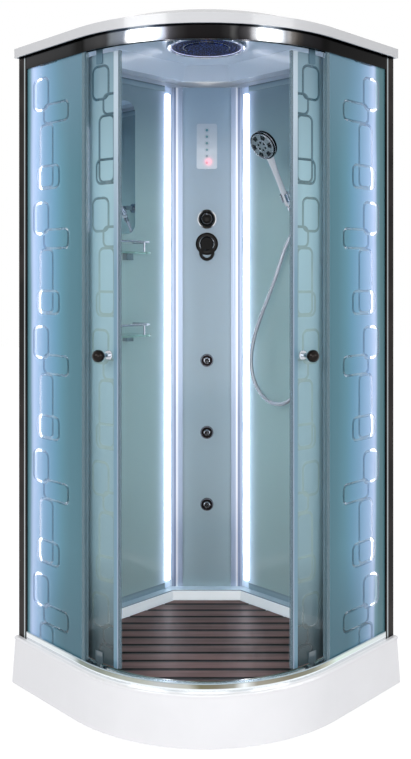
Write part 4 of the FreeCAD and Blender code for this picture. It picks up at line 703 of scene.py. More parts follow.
@dataclass(frozen=True)
class ColumnEdge(Look):
    """Edge profile banded across its width, with painted highlights and painted reflections in the bands.

    Attributes:
        bands: Colours against the distance from the cabin's middle plane, the white ones painted
            highlights.
        first: Where the bands start.
        last: Where they end.
    """

    bands: Bands
    first: float
    last: float

    def paint(self, graph: Graph) -> None:
        """Lays the bands across the profile, painted highlights among them.

        Args:
            graph: The material's graph.
        """
        across = graph.place()[0].size().rise(self.first, self.last - self.first)
        # The white bands are painted highlights, the dark ones painted reflection.
        tone = graph.ramp(across, spread(self.bands, self.first, self.last))
        drawn = graph.noise(200.0, (1, 1, 0.01), detail=1)
        graph.feed(base_color=tone, metallic=0.2, roughness=drawn * 0.1 + 0.2, coat_weight=0.4,
                   coat_roughness=0.1)
        graph.bump(drawn, 0.06, 0.0002)


@dataclass(frozen=True)
class RoofShell(Look):
    """White vacuum-formed shell, darkened to grey outside as painted shade, and paler and bluer where it
    faces down or inwards in the cabin, as painted light from the strips.

    Attributes:
        outside: The colour of the outward and upward faces: the shell's white, darkened to grey by painted
            shade.
        ceiling: The colour of the downward and inward faces, with the strips' light painted on.
    """

    outside: Colour
    ceiling: Colour

    def paint(self, graph: Graph) -> None:
        """Tells the ceiling's faces, with their painted light, from the outer ones.

        Args:
            graph: The material's graph.
        """
        # Painted light: faces that look down or inwards take the paler, bluer ceiling colour.
        inside = looking_in(graph).at_least(graph.facing()[2] * -2.5).share()
        cloud = graph.noise(6.0, detail=3)
        graph.feed(base_color=graph.mix(inside, self.outside, self.ceiling),
                   roughness=cloud * 0.08 + 0.16, coat_weight=0.5, coat_roughness=0.06)
        graph.bump(graph.noise(300.0, detail=2), 0.05, 0.0004)


@dataclass(frozen=True)
class TrayShell(Look):
    """White acrylic tray, with a painted reflection of the walls' tones and painted light of its own tone
    on the faces that look inwards, and painted light on the ledge at the walls' foot.

    Attributes:
        outside: The colour of the other faces.
        bands: Colours of the inward faces against the height: a pale painted reflection, and a dark line at
            the top.
        ledge: The colour of the ledge at the walls' foot, with the strips' light painted on.
        top: The height that the bands are spread over.
        ledge_from: The height that the ledge lies over.
        painted_glow: How much painted light the inward faces add of their own tone.
    """

    outside: Colour
    bands: Bands
    ledge: Colour
    top: float = 0.2
    ledge_from: float = 0.148
    painted_glow: float = 0.14

    def paint(self, graph: Graph) -> None:
        """Tells the inward faces and the ledge from the others and paints light and reflection on them.

        Args:
            graph: The material's graph.
        """
        _, y, z = graph.place()
        inwards = looking_in(graph).share()
        # Painted reflection: the inward faces take the walls' tones, banded by height.
        banded = graph.ramp((z / self.top).share(), spread(self.bands, 0.0, self.top))
        behind = y.rise(0.0, 0.02)
        # Painted light: the upward faces at the walls' foot take the bluish ledge colour.
        upward = graph.facing()[2].rise(0.75, 0.25) * z.rise(self.ledge_from, 0.001) * behind
        cloud = graph.noise(5.0, detail=4)
        tone = graph.mix(upward, graph.mix(inwards, self.outside, banded), self.ledge)
        # Painted light: the inward faces behind the front shine with their own tone.
        graph.feed(base_color=tone, roughness=cloud * 0.08 + 0.16, coat_weight=0.4, coat_roughness=0.06,
                   emission_color=tone, emission_strength=inwards * behind * self.painted_glow)
        graph.bump(graph.noise(260.0, detail=2), 0.05, 0.0004)


# How far the clear lines' edges fade
LINE_SOFT = 0.0012


@dataclass(frozen=True)
class Link:
    """One outlined rounded rectangle of the clear pattern, in metres on the unrolled pane.

    Attributes:
        along: Where its middle lies along the pane.
        height: Where its middle lies in height.
        half_width: Half its width, from line to line.
        half_height: Half its height.
        corner: The radius of its corners.
    """

    along: float
    height: float
    half_width: float
    half_height: float
    corner: float = 0.02

    def line(self, along: Signal, height: Signal, pitch: float, rise: float, half_line: float) -> Signal:
        """Where the outline is clear: the distance to a rounded rectangle, taken without its sign.

        Args:
            along: The way along the pane.
            height: The height on the pane.
            pitch: What the pattern repeats by along the pane.
            rise: What the pattern repeats by in height.
            half_line: Half the line's width.

        Returns:
            One on the line and zero beside it.
        """
        across = (along - self.along).wrapped(pitch).size() - (self.half_width - self.corner)
        upright = (height - self.height).wrapped(rise).size() - (self.half_height - self.corner)
        outside_x = across.at_least(0.0)
        outside_z = upright.at_least(0.0)
        outside = (outside_x * outside_x + outside_z * outside_z).power(0.5)
        inside = across.at_least(upright).at_most(0.0)
        distance = (outside + inside - self.corner).size()
        return distance.fall(half_line + LINE_SOFT, LINE_SOFT)


# The links of one repeat
LINKS = (
    Link(0.040, 0.060, 0.052, 0.036), Link(0.049, 0.128, 0.030, 0.100, 0.018),
    Link(0.002, 0.262, 0.060, 0.030, 0.018), Link(0.075, 0.330, 0.034, 0.050),
)


@dataclass(frozen=True)
class FrostedPane(Look):
    """Tinted frosted glass with clear outlined links; the light strip behind it is painted in as light near
    the post, with painted glints on the lines there, and painted shade darkens its top and foot.

    Attributes:
        tones: The frosting's colours against the distance from the cabin's middle plane; the pale lavender
            ones near the post are the strip's light, painted in.
        head: The tone that the frosting nears at its top, a painted shade.
        foot: The tone that it nears at its foot, a painted shade.
        lines: The lines' two colours: low and high where by_height, else inner and outer, the outer one the
            strip's light painted in where it shows through the lines.
        by_height: Whether the lines change with the height.
        frost: How much of the view one frosted face hides.
        clear: How much of the view one clear face hides.
        lower_half_shade: How much of the foot's tone shows in the lower half, as painted shade.
        painted_glow: How strongly the frosting itself shines with its own tone near the post, as painted
            light.
        glint: How strongly the lines shine where they catch the light strip, as a painted glint.
        radius: The pane's radius, for the pattern's way along it.
        pitch: What the pattern repeats by along the pane.
        rise: What the pattern repeats by in height.
        half_line: Half the clear lines' width.
        widest: The distance from the middle plane that the tones end at.
        right_shift: How much further out the right pane takes its tones, as a share of the distance, so
            that it takes more of the painted light.
        head_from: The height that the head's tone starts at, head_over how high it takes, and
            head_share how much of it shows.
        foot_below: The height that the foot's tone starts under, and foot_over how low it takes.
        sink_below: The height that the lower half's painted shade starts under, and sink_over how low it
            takes.
        change_from: The height that the lines change at, and change_over how high it takes.
        post_from: Where the painted light by the post starts, and post_over how far it takes.
        glint_at: Where the lines catch the light strip, and glint_over how wide.
    """

    tones: Bands
    head: Colour
    foot: Colour
    lines: tuple[Colour, Colour]
    by_height: bool
    frost: float
    clear: float
    lower_half_shade: float
    painted_glow: float
    glint: float
    radius: float
    pitch: float = 0.27
    rise: float = 0.40
    half_line: float = 0.0034
    widest: float = 0.62
    right_shift: float = 0.036
    head_from: float = 1.66
    head_over: float = 0.36
    head_share: float = 0.8
    foot_below: float = 0.50
    foot_over: float = 0.27
    sink_below: float = 1.40
    sink_over: float = 0.90
    change_from: float = 1.35
    change_over: float = 0.35
    post_from: float = 0.44
    post_over: float = 0.12
    glint_at: float = 0.484
    glint_over: float = 0.014

    def pattern(self, along: Signal, height: Signal) -> Signal:
        """Where the clear lines run.

        Args:
            along: The way along the pane.
            height: The height on the pane.

        Returns:
            One on the lines and zero beside them.
        """
        marks = [link.line(along, height, self.pitch, self.rise, self.half_line) for link in LINKS]
        lines = marks[0]
        for mark in marks[1:]:
            lines = lines.at_least(mark)
        return lines

    def paint(self, graph: Graph) -> None:
        """Frosts the glass, clears the lines, paints light on both near the post and paints shade at the
        top and foot.

        Args:
            graph: The material's graph.
        """
        x, y, z = graph.place()
        lines = self.pattern(bow_degrees(x, y).size() * (FULL_TURN / 360 * self.radius), z)
        cloud = graph.noise(2.4, (1, 1, 0.5), detail=3) * 0.03 - 0.015
        across = ((x.size() + x.share() * self.right_shift + cloud) / self.widest).share()
        # The tones near the post are the strip's light, painted in.
        tone = graph.ramp(across, spread(self.tones, 0.0, self.widest))
        near_post = x.size().rise(self.post_from, self.post_over)
        away = 1.0 - near_post
        # Painted shade towards the top and, in the lower half, towards the foot.
        tone = graph.mix(z.rise(self.head_from, self.head_over) * away * self.head_share, tone, self.head)
        tone = graph.mix(z.fall(self.sink_below, self.sink_over) * self.lower_half_shade, tone, self.foot)
        if self.by_height:
            change = z.rise(self.change_from, self.change_over)
        else:
            change = near_post.power(2.0)
        line_tone = graph.mix(change, *self.lines)
        seen = graph.mix(lines, tone, line_tone)
        # Painted shade at the foot.
        seen = graph.mix(z.fall(self.foot_below, self.foot_over) * away, seen, self.foot)
        cover = 1.0 - lines
        # Painted glints on the lines by the strip; the frosting near the post also shines as painted light.
        glint = x.size().bell(self.glint_at, self.glint_over) * lines * self.glint
        graph.feed(base_color=seen, roughness=cover * 0.3 + 0.05,
                   alpha=cover * (self.frost - self.clear) + self.clear, emission_color=seen,
                   emission_strength=near_post * cover * self.painted_glow + glint, specular_ior_level=0.5)
        graph.bump(graph.noise(900.0, detail=1) * cover, 0.12, 0.0002)
        graph.see_through()


@dataclass(frozen=True)
class WallPane(Look):
    """Back-painted wall glass, with the light strips' light painted on at its ends, and darker near the
    roof as painted shade.

    Attributes:
        tint: The glass's colour.
        upper: Its colour near the roof, darker, a painted shade.
        painted_glow: The colour of the strips' light painted on it.
        strength: How strong that painted light is.
        near_column: Where the inner strip stands, from the corner, and inner_width how wide it lights.
        near_post: Where the outer strip stands, and outer_width how wide it lights.
        upper_from: The height that the upper colour starts at, and upper_over how high it takes.
    """

    tint: Colour
    upper: Colour
    painted_glow: Colour
    strength: float
    near_column: float = 0.241
    inner_width: float = 0.036
    near_post: float = 0.823
    outer_width: float = 0.085
    upper_from: float = 1.62
    upper_over: float = 0.40

    def paint(self, graph: Graph) -> None:
        """Clouds the glass, paints on the strips' light and paints shade near the roof.

        Args:
            graph: The material's graph.
        """
        x, y, z = graph.place()
        reach = wall_reach(x, y)
        # Painted light: bright bands by the inner and outer strips.
        inner = reach.bell(self.near_column, self.inner_width)
        outer = reach.bell(self.near_post, self.outer_width)
        cloud = graph.noise(1.6, (1, 1, 0.7), detail=3)
        tone = graph.ramp(cloud, [(0.3, self.tint), (0.7, scaled(self.tint, 1.12))])
        # Painted shade: darker near the roof.
        tone = graph.mix(z.rise(self.upper_from, self.upper_over), tone, self.upper)
        graph.feed(base_color=tone, roughness=0.1, coat_weight=1.0, coat_roughness=0.02,
                   emission_color=self.painted_glow, emission_strength=(inner + outer) * self.strength)


@dataclass(frozen=True)
class LightStrip(Look):
    """A lit diffuser: a white core with cooler edges and a faint beat of the diodes behind it.

    Attributes:
        core: The middle's colour.
        edge: The edges' colour.
        strength: How strong its light is.
        inner: Where the inner strips' middle stands, from the corner.
        outer: Where the outer strips' middle stands.
        core_width: How wide the core is.
        diode_pitch: What the beat repeats by in height.
    """

    core: Colour
    edge: Colour
    strength: float
    inner: float = 0.2414
    outer: float = 0.823
    core_width: float = 0.011
    diode_pitch: float = 0.017

    def paint(self, graph: Graph) -> None:
        """Lights the core and its edges in the diodes' beat.

        Args:
            graph: The material's graph.
        """
        x, y, z = graph.place()
        reach = wall_reach(x, y)
        middle = reach.bell(self.inner, self.core_width) + reach.bell(self.outer, self.core_width)
        beat = graph.math("COSINE", z * (FULL_TURN / self.diode_pitch)) * 0.08 + 0.92
        graph.feed(base_color=self.core, roughness=0.4,
                   emission_color=graph.mix(middle.share(), self.edge, self.core),
                   emission_strength=(middle * 0.5 + 0.6) * beat * self.strength)


@dataclass(frozen=True)
class SlatWood(Look):
    """Dark oiled slats: long grain, pores and a slightly different tone in each slat, with painted shade in
    the gaps and on the slats' edges beside them.

    Attributes:
        deep: The grain's dark colour.
        pale: Its light colour.
        first_gap: Where the middle of the first gap lies.
        pitch: From gap to gap.
        gap_half: Half the dark width round a gap, the painted shade on its slats' rounded edges with it.
        gap_soft: How far that dark fades.
        gap_shade_tone: The colour in the gaps and of the painted shade beside them.
    """

    deep: Colour
    pale: Colour
    first_gap: float
    pitch: float
    gap_half: float = 0.0105
    gap_soft: float = 0.003
    gap_shade_tone: Colour = srgb("0a0706")

    def paint(self, graph: Graph) -> None:
        """Grains the wood slat by slat and paints shade in and beside the gaps.

        Args:
            graph: The material's graph.
        """
        y = graph.place()[1]
        slat = graph.math("FLOOR", (y - self.first_gap) / self.pitch)
        tone = graph.math("FRACT", graph.math("SINE", slat * 12.99) * 43.76)
        grain = graph.noise(30.0, (0.12, 1.6, 1.0), detail=6)
        pores = graph.noise(220.0, (0.06, 1.4, 1.0), detail=2)
        mixed = (grain * 0.75 + tone * 0.25).share()
        wood = graph.ramp(mixed, [(0.25, self.deep), (0.72, self.pale)])
        # Painted shade: the gaps and the slats' edges beside them darken.
        edge = (y - self.first_gap).wrapped(self.pitch).size().fall(self.gap_half, self.gap_soft)
        graph.feed(base_color=graph.mix(edge, wood, self.gap_shade_tone),
                   roughness=pores * 0.2 + 0.38, coat_weight=0.04, coat_roughness=0.3,
                   specular_ior_level=0.3)
        graph.bump((grain * 0.5 + pores * 0.5).share(), 0.35, 0.0008)


@dataclass(frozen=True)
class ColumnSheet(Look):
    """The column's satin sheet, cooler at its top and paler low down.

    Attributes:
        top: Its colour at the top.
        foot: Its colour at the foot.
        low: The foot's height.
        high: The top's height.
    """

    top: Colour
    foot: Colour
    low: float
    high: float

    def paint(self, graph: Graph) -> None:
        """Fades the sheet from foot to top.

        Args:
            graph: The material's graph.
        """
        height = graph.place()[2].rise(self.low, self.high - self.low)
        brushed = graph.noise(90.0, (1, 1, 0.03), detail=2)
        graph.feed(base_color=graph.mix(height, self.foot, self.top),
                   roughness=brushed * 0.12 + 0.3, coat_weight=0.5, coat_roughness=0.12)
        graph.bump(brushed, 0.05, 0.0003)


@dataclass(frozen=True)
class Glitter(Look):
    """Dark blue plate full of small bright flakes, which shine a little as painted glints.

    Attributes:
        deep: The plate's colour.
        flake: The flakes' colour, and the colour of their painted glints.
        dull: The share of the flakes that stay dark.
    """

    deep: Colour
    flake: Colour
    dull: float = 0.78

    def paint(self, graph: Graph) -> None:
        """Strews the flakes, thinner in some clouds, and lets them shine as painted glints.

        Args:
            graph: The material's graph.
        """
        flakes = ((graph.sparkle(420.0) - self.dull) * 6.0).share() * graph.noise(14.0, detail=3)
        # Painted glints: the flakes shine with their own light.
        graph.feed(base_color=graph.mix(flakes, self.deep, self.flake), metallic=0.0,
                   roughness=0.35, specular_ior_level=0.04, emission_color=self.flake,
                   emission_strength=flakes * 0.35)


@dataclass(frozen=True)
class HeightBands(Look):
    """Smooth plastic, banded by height.

    Attributes:
        bands: Colours against the height.
        top: The height that the bands are spread over.
    """

    bands: Bands
    top: float = 2.2

    def paint(self, graph: Graph) -> None:
        """Lays the bands up the height.

        Args:
            graph: The material's graph.
        """
        tone = graph.ramp((graph.place()[2] / self.top).share(), spread(self.bands, 0.0, self.top))
        drawn = graph.noise(240.0, (1, 1, 0.05), detail=1)
        graph.feed(base_color=tone, roughness=drawn * 0.1 + 0.25, coat_weight=0.3, coat_roughness=0.1)


@dataclass(frozen=True)
class DoorStile(Look):
    """Milky edge profile of a door: a deeper line beside a pale one that is a painted highlight, lighter
    towards the top.

    Attributes:
        bands: Colours against the angle from the middle of the front, in degrees, the pale ones a painted
            highlight.
        head: The tone that it nears at its top.
        head_from: The height that this starts at, head_over how high it takes, and head_share how
            much of it shows.
    """

    bands: Bands
    head: Colour
    head_from: float = 1.35
    head_over: float = 0.5
    head_share: float = 0.6

    def paint(self, graph: Graph) -> None:
        """Lays the bands across the profile and lightens its head.

        Args:
            graph: The material's graph.
        """
        x, y, z = graph.place()
        first, last = self.bands[0][0], self.bands[-1][0]
        across = bow_degrees(x, y).size().rise(first, last - first)
        # The pale band is a painted highlight.
        tone = graph.ramp(across, spread(self.bands, first, last))
        drawn = graph.noise(240.0, (1, 1, 0.02), detail=1)
        head = z.rise(self.head_from, self.head_over) * self.head_share
        graph.feed(base_color=graph.mix(head, tone, self.head), roughness=drawn * 0.1 + 0.25,
                   coat_weight=0.2, coat_roughness=0.1)


@dataclass(frozen=True)
class KnobCoat(Look):
    """A glossy dark ball on a bright neck, told apart by the distance from the front's centre.

    Attributes:
        ball: The ball's colour.
        neck: The neck's colour.
        ball_from: The distance that the ball starts at.
    """

    ball: Colour
    neck: Colour
    ball_from: float

    def paint(self, graph: Graph) -> None:
        """Tells the ball from the neck.

        Args:
            graph: The material's graph.
        """
        x, y, _ = graph.place()
        back = y - PLAN.bow_y
        outer = (x * x + back * back).power(0.5).rise(self.ball_from, 0.001)
        graph.feed(base_color=graph.mix(outer, self.neck, self.ball), metallic=1.0 - outer * 0.3,
                   roughness=graph.noise(30.0) * 0.06 + 0.1)


@dataclass(frozen=True)
class SprayPetals(Look):
    """Silver spray plate with two rings of dark petals, laid out by radius and turn on its UV map.

    Attributes:
        plate: The plate's colour.
        petal: The petals' colour.
        count: The petals in a ring.
        outer: The outer ring's radius and half its width.
        inner: The inner ring's radius and half its width.
        soft: How far the petals' edges fade.
    """

    plate: Colour
    petal: Colour
    count: int = 6
    outer: tuple[float, float] = (0.034, 0.0085)
    inner: tuple[float, float] = (0.0145, 0.0050)
    soft: float = 0.002

    def paint(self, graph: Graph) -> None:
        """Draws the two rings of petals.

        Args:
            graph: The material's graph.
        """
        radius, around = graph.uv()
        wave = graph.math("COSINE", around * (FULL_TURN * self.count))
        outer = (wave * 4.0 + 0.6).share() * (radius - self.outer[0]).size().fall(self.outer[1], self.soft)
        inner = (wave * -4.0 + 0.2).share() * (radius - self.inner[0]).size().fall(self.inner[1], self.soft)
        graph.feed(base_color=graph.mix(outer.at_least(inner), self.plate, self.petal), metallic=0.3,
                   roughness=graph.noise(60.0) * 0.1 + 0.2)


@dataclass(frozen=True)
class HandleCoat(Look):
    """Silver handle with a dark neck, told apart by the way up its UV map.

    Attributes:
        light: The handle's colour.
        neck: The neck's colour.
        neck_share: The share of the way up that the neck starts at.
    """

    light: Colour
    neck: Colour
    neck_share: float = 0.84

    def paint(self, graph: Graph) -> None:
        """Tells the neck from the handle.

        Args:
            graph: The material's graph.
        """
        dark = graph.uv()[0].rise(self.neck_share, 0.01)
        graph.feed(base_color=graph.mix(dark, self.light, self.neck), coat_weight=0.4,
                   roughness=graph.noise(40.0) * 0.06 + 0.2)


@dataclass(frozen=True)
class ClearPane(Look):
    """Clear glass, with the green that shows where one looks along it.

    Attributes:
        tint: The green.
        cover: How much of the view one face hides when seen straight on.
    """

    tint: Colour
    cover: float

    def paint(self, graph: Graph) -> None:
        """Covers more of the view where the glass is seen along its face.

        Args:
            graph: The material's graph.
        """
        facing = graph.nodes.new("ShaderNodeLayerWeight")
        facing.inputs["Blend"].default_value = 0.4
        edge = Signal(graph, facing.outputs["Facing"])
        film = graph.noise(40.0, detail=3)
        graph.feed(base_color=self.tint, roughness=film * 0.05 + 0.02, coat_weight=1.0,
                   coat_roughness=0.02, alpha=(edge * 0.5 + self.cover).share())
        graph.see_through()


@dataclass(frozen=True)
class Silvering(Look):
    """A silvered mirror with a barely clouded surface.

    Attributes:
        colour: The silver's colour.
    """

    colour: Colour

    def paint(self, graph: Graph) -> None:
        """Clouds the silvering a little.

        Args:
            graph: The material's graph.
        """
        film = graph.noise(12.0, detail=4)
        graph.feed(base_color=self.colour, metallic=1.0, roughness=film * 0.03 + 0.01,
                   coat_weight=0.6, coat_roughness=0.01)


@dataclass(frozen=True)
class SoftSeal(Look):
    """Milky seal strip with fine draw lines along it.

    Attributes:
        colour: The seal's colour.
        cover: How much of the view one face hides.
    """

    colour: Colour
    cover: float

    def paint(self, graph: Graph) -> None:
        """Draws the lines and thins the seal.

        Args:
            graph: The material's graph.
        """
        lines = graph.noise(500.0, (1, 1, 0.01), detail=1)
        graph.feed(base_color=graph.ramp(lines, [(0.3, scaled(self.colour, 0.85)), (0.7, self.colour)]),
                   roughness=lines * 0.15 + 0.35, alpha=self.cover)
        graph.bump(lines, 0.1, 0.0003)
        graph.see_through()


@dataclass(frozen=True)
class TouchPanel(Look):
    """The control panel's face: pale glass, lit keys, and a red light at the lowest key.

    Attributes:
        face: The glass's colour.
        key: The keys' colour.
        alarm: The red light's colour.
        top_key: The highest key's height.
        pitch: From key to key.
        count: The keys.
        key_radius: A key's radius.
        ring_radius: The radius of the ring round it, and ring_half half the ring's width.
        lamp_side: How far right of the middle the red light lies, and lamp_lift how far over its key.
        lamp_width: How wide it shines.
    """

    face: Colour
    key: Colour
    alarm: Colour
    top_key: float
    pitch: float
    count: int
    key_radius: float = 0.0058
    ring_radius: float = 0.0085
    ring_half: float = 0.0012
    lamp_side: float = 0.006
    lamp_lift: float = 0.004
    lamp_width: float = 0.013

    def paint(self, graph: Graph) -> None:
        """Draws the keys with their rings and lights the red light.

        Args:
            graph: The material's graph.
        """
        x, _, z = graph.place()
        middle = self.top_key - self.pitch * (self.count - 1) / 2
        near = (z - self.top_key).wrapped(self.pitch)
        spot = (x * x + near * near).power(0.5)
        within = (z - middle).size().fall(self.pitch * self.count / 2, 0.001)
        keys = spot.fall(self.key_radius, 0.001) * within
        ring = (spot - self.ring_radius).size().fall(self.ring_half, 0.0008) * within
        lamp_z = self.top_key - self.pitch * (self.count - 1) + self.lamp_lift
        lamp = x.bell(self.lamp_side, self.lamp_width) * z.bell(lamp_z, self.lamp_width)
        cloud = graph.noise(30.0, detail=2)
        glass = graph.ramp(cloud, [(0.3, scaled(self.face, 0.93)), (0.7, self.face)])
        base = graph.mix(keys, glass, self.key)
        base = graph.mix(ring * 0.35, base, self.key)
        graph.feed(base_color=base, roughness=0.16, coat_weight=1.0, coat_roughness=0.03,
                   emission_color=self.alarm, emission_strength=lamp * 1.1)


@dataclass(frozen=True)
class HoseSheath(Look):
    """Silver sheath wound in fine turns: a bump that repeats along the hose's own length, with painted
    shade in the grooves between the turns.

    Attributes:
        colour: The sheath's colour.
        turn: The length that one turn takes.
    """

    colour: Colour
    turn: float = 0.0032

    def paint(self, graph: Graph) -> None:
        """Winds the turns along the hose and paints shade in their grooves.

        Args:
            graph: The material's graph.
        """
        along, around = graph.uv()
        wave = graph.math("SINE", (along / self.turn + around) * FULL_TURN) * 0.5 + 0.5
        # Painted shade: the grooves between the turns are darker.
        tones = [(0.05, scaled(self.colour, 0.72)), (0.5, self.colour)]
        graph.feed(base_color=graph.ramp(wave, tones), metallic=0.55,
                   roughness=graph.noise(60.0) * 0.1 + 0.2, coat_weight=0.5, coat_roughness=0.08)
        graph.bump(wave, 0.3, 0.0008)


class Finish(Enum):
    """The cabin's finishes."""

    ACRYLIC = Gloss(srgb("f0f0f3"), 0.2, 0.4, 0.02)
    # The tray's inward bands are a pale, bluish painted reflection, and its ledge colour is painted light.
    TRAY_SHELL = TrayShell(srgb("f0f0f3"), (
        (0.05, "e8f2f8"), (0.1460, "f4fbff"), (0.1475, "7b8c96"), (0.1495, "7b8c96")), srgb("bcd2de"))
    # The roof's grey outside is painted shade on white, its bluish ceiling colour painted light.
    ROOF_SHELL = RoofShell(srgb("c9cacd"), srgb("d3e0ef"))
    LIGHT_PLASTIC = Gloss(srgb("c3c6ca"), 0.35, 0.2)
    BLACK_RUBBER = Gloss(srgb("1b1c1f"), 0.5, 0.1)
    BLACK_GLOSS = Gloss(srgb("040304"), 0.14, 0.0, shine=0.06)
    VALVE_PLATE = Gloss(srgb("0d0706"), 0.10, 0.0, shine=0.10)
    # The valve rims' white sides are painted highlights, their dark middle a painted reflection.
    VALVE_RIM = ColumnEdge((
        (0.0, "0c0c0d"), (0.014, "151517"), (0.020, "aab2bc"), (0.026, "ffffff"), (0.045, "eef2f8")),
        first=0.0, last=0.045)
    ZINC = Metal(srgb("8e9195"), 0.38, (1, 1, 1), 0.1)
    BRASS = Metal(srgb("b9984e"), 0.28, (1, 1, 0.2), 0.1)
    CHROME = Metal(srgb("b9bcc4"), 0.1, (1, 1, 0.1), 0.03)
    SMOKED_CHROME = Metal(srgb("7d8088"), 0.12, (1, 1, 0.1), 0.03)
    DARK_CHROME = Metal(srgb("100e0f"), 0.1, (1, 1, 0.1), 0.03)
    KNOB = KnobCoat(srgb("120c09"), srgb("c3c9d0"), ball_from=0.5285)
    WALL_EDGE = HeightBands((
        (0.150, "8aa2ae"), (0.165, "90a9b4"), (0.173, "7c929c"), (2.048, "9cb2bc"),
        (2.063, "8aa2b0"), (2.065, "3c4b56"), (2.071, "36434d")))
    # The stile's pale band is a painted highlight.
    STILE = DoorStile((
        (30.3, "b4c3c8"), (30.8, "b0bcc9"), (31.4, "a9b8cd"), (31.55, "7292a8"), (32.2, "6f93a8")),
        srgb("d5e1ec"))
    GUIDE = Gloss(srgb("56666e"), 0.2, 0.5)
    NYLON = Gloss(srgb("3a3d44"), 0.4, 0.1)
    HANDLE = HandleCoat(srgb("d9dae0"), srgb("2b3440"))
    SPRAY = SprayPetals(srgb("8d9aa2"), srgb("0b1018"))
    # The post's stretches are painted reflection, its pale line a painted highlight.
    POST = DarkPost(srgb("0c0a09"), srgb("26211f"), srgb("c2ccd0"))
    # The column profiles' white line is a painted highlight.
    COLUMN_EDGE = ColumnEdge((
        (0.105, "a9b8cf"), (0.111, "bac7dc"), (0.113, "eef1fb"), (0.117, "ffffff"), (0.1195, "8794ad"),
        (0.126, "7a89a2"), (0.1285, "a7b2c5"), (0.134, "8e9bb0")), first=0.104, last=0.136)
    # The fixed panes' pale lavender tones near the post and their pale outer line colour are the strip's
    # light, painted in; head and foot are painted shade.
    FIXED_PANE = FrostedPane((
        (0.36, "437685"), (0.42, "4c8090"), (0.45, "5790a4"), (0.475, "649cba"), (0.51, "7caace"),
        (0.543, "a0c2e8"), (0.562, "bcd2f6"), (0.569, "a6c0e2"), (0.576, "5f8a98"), (0.590, "456e77")),
        head=srgb("64899f"), foot=srgb("3b6b7c"), lines=(srgb("4a7b8b"), srgb("cfe4ff")), by_height=False,
        frost=0.93, clear=0.30, lower_half_shade=0.12, painted_glow=0.16, glint=0.35, radius=0.52)
    # The doors' head and foot tones are painted shade.
    DOOR_PANE = FrostedPane((
        (0.25, "a8ccd8"), (0.33, "a6cad6"), (0.40, "9dc3d1"), (0.50, "98bccb")),
        head=srgb("7693a4"), foot=srgb("44565c"), lines=(srgb("a0bdbd"), srgb("426674")), by_height=True,
        frost=0.72, clear=0.6, lower_half_shade=0.3, painted_glow=0.0, glint=0.0, radius=0.498)
    # The walls' second colour is painted shade near the roof, the third the strips' painted light.
    WALL = WallPane(srgb("a9c4c5"), srgb("8199a4"), srgb("bccaff"), strength=0.42)
    STRIP = LightStrip((1.0, 1.0, 1.0), srgb("dfe2ff"), strength=7.0)
    SLATS = SlatWood(srgb("3c2622"), srgb("82605a"), first_gap=-0.3975, pitch=0.060)
    COLUMN = ColumnSheet(srgb("98b1c6"), srgb("a4bbc2"), low=0.15, high=2.07)
    RAIN_BLUE = Glitter(srgb("03061c"), srgb("5a78e6"))
    RAIN_NOZZLE = Gloss(srgb("0a1030"), 0.3, 0.0, shine=0.2)
    RING_LIGHT = LightStrip((1.0, 1.0, 1.0), srgb("c9d0ff"), strength=1.3)
    HANGER = Gloss(srgb("5f7b8b"), 0.5, 0.0, shine=0.1)
    SHELF = ClearPane(srgb("a4dccd"), cover=0.30)
    MIRROR = Silvering(srgb("c6d6de"))
    SEAL = SoftSeal(srgb("7e98a4"), cover=0.45)
    TOUCH = TouchPanel(srgb("c8d6e4"), srgb("3f8296"), srgb("ff5a70"), top_key=1.904, pitch=0.025, count=6)
    HOSE = HoseSheath(srgb("c6cad2"))

    @property
    def material(self) -> bpy.types.Material:
        """The finish's material, made once."""
        name = self.name.lower() + "_finish"
        return bpy.data.materials.get(name) or self.value.build(name)


def dress(finish: Finish, *nodes: str) -> None:
    """Gives CAD nodes a finish through their material slots.

    Args:
        finish: The finish.
        nodes: The nodes' names.
    """
    dress_with(finish.material, *nodes)


def dress_with(material: bpy.types.Material, *nodes: str) -> None:
    """Puts a material in every slot of CAD nodes.

    Args:
        material: The material.
        nodes: The nodes' names.
    """
    for name in nodes:
        thing = frame["nodes"][name]
        if not thing.material_slots:
            thing.data.materials.append(material)
        for slot in thing.material_slots:
            slot.material = material
        log.info("dressed %s as %s", name, material.name)


# Surfaces

def quads(rows: int, cols: int) -> tuple[np.ndarray, np.ndarray]:
    """The faces of a grid whose last column joins the first, worked out as whole arrays.

    Args:
        rows: The grid's rows.
        cols: The grid's columns.

    Returns:
        Each face's four point numbers, and each corner's row and column shares for the UV map.
    """
    i, j = np.meshgrid(np.arange(rows - 1), np.arange(cols), indexing="ij")
    i, j = i.ravel(), j.ravel()
    corner_rows = np.stack([i, i, i + 1, i + 1], axis=1)
    corner_cols = np.stack([j, j + 1, j + 1, j], axis=1)
    faces = corner_rows * cols + corner_cols % cols
    shares = np.stack([corner_rows / (rows - 1), corner_cols / cols], axis=-1)
    return faces, shares


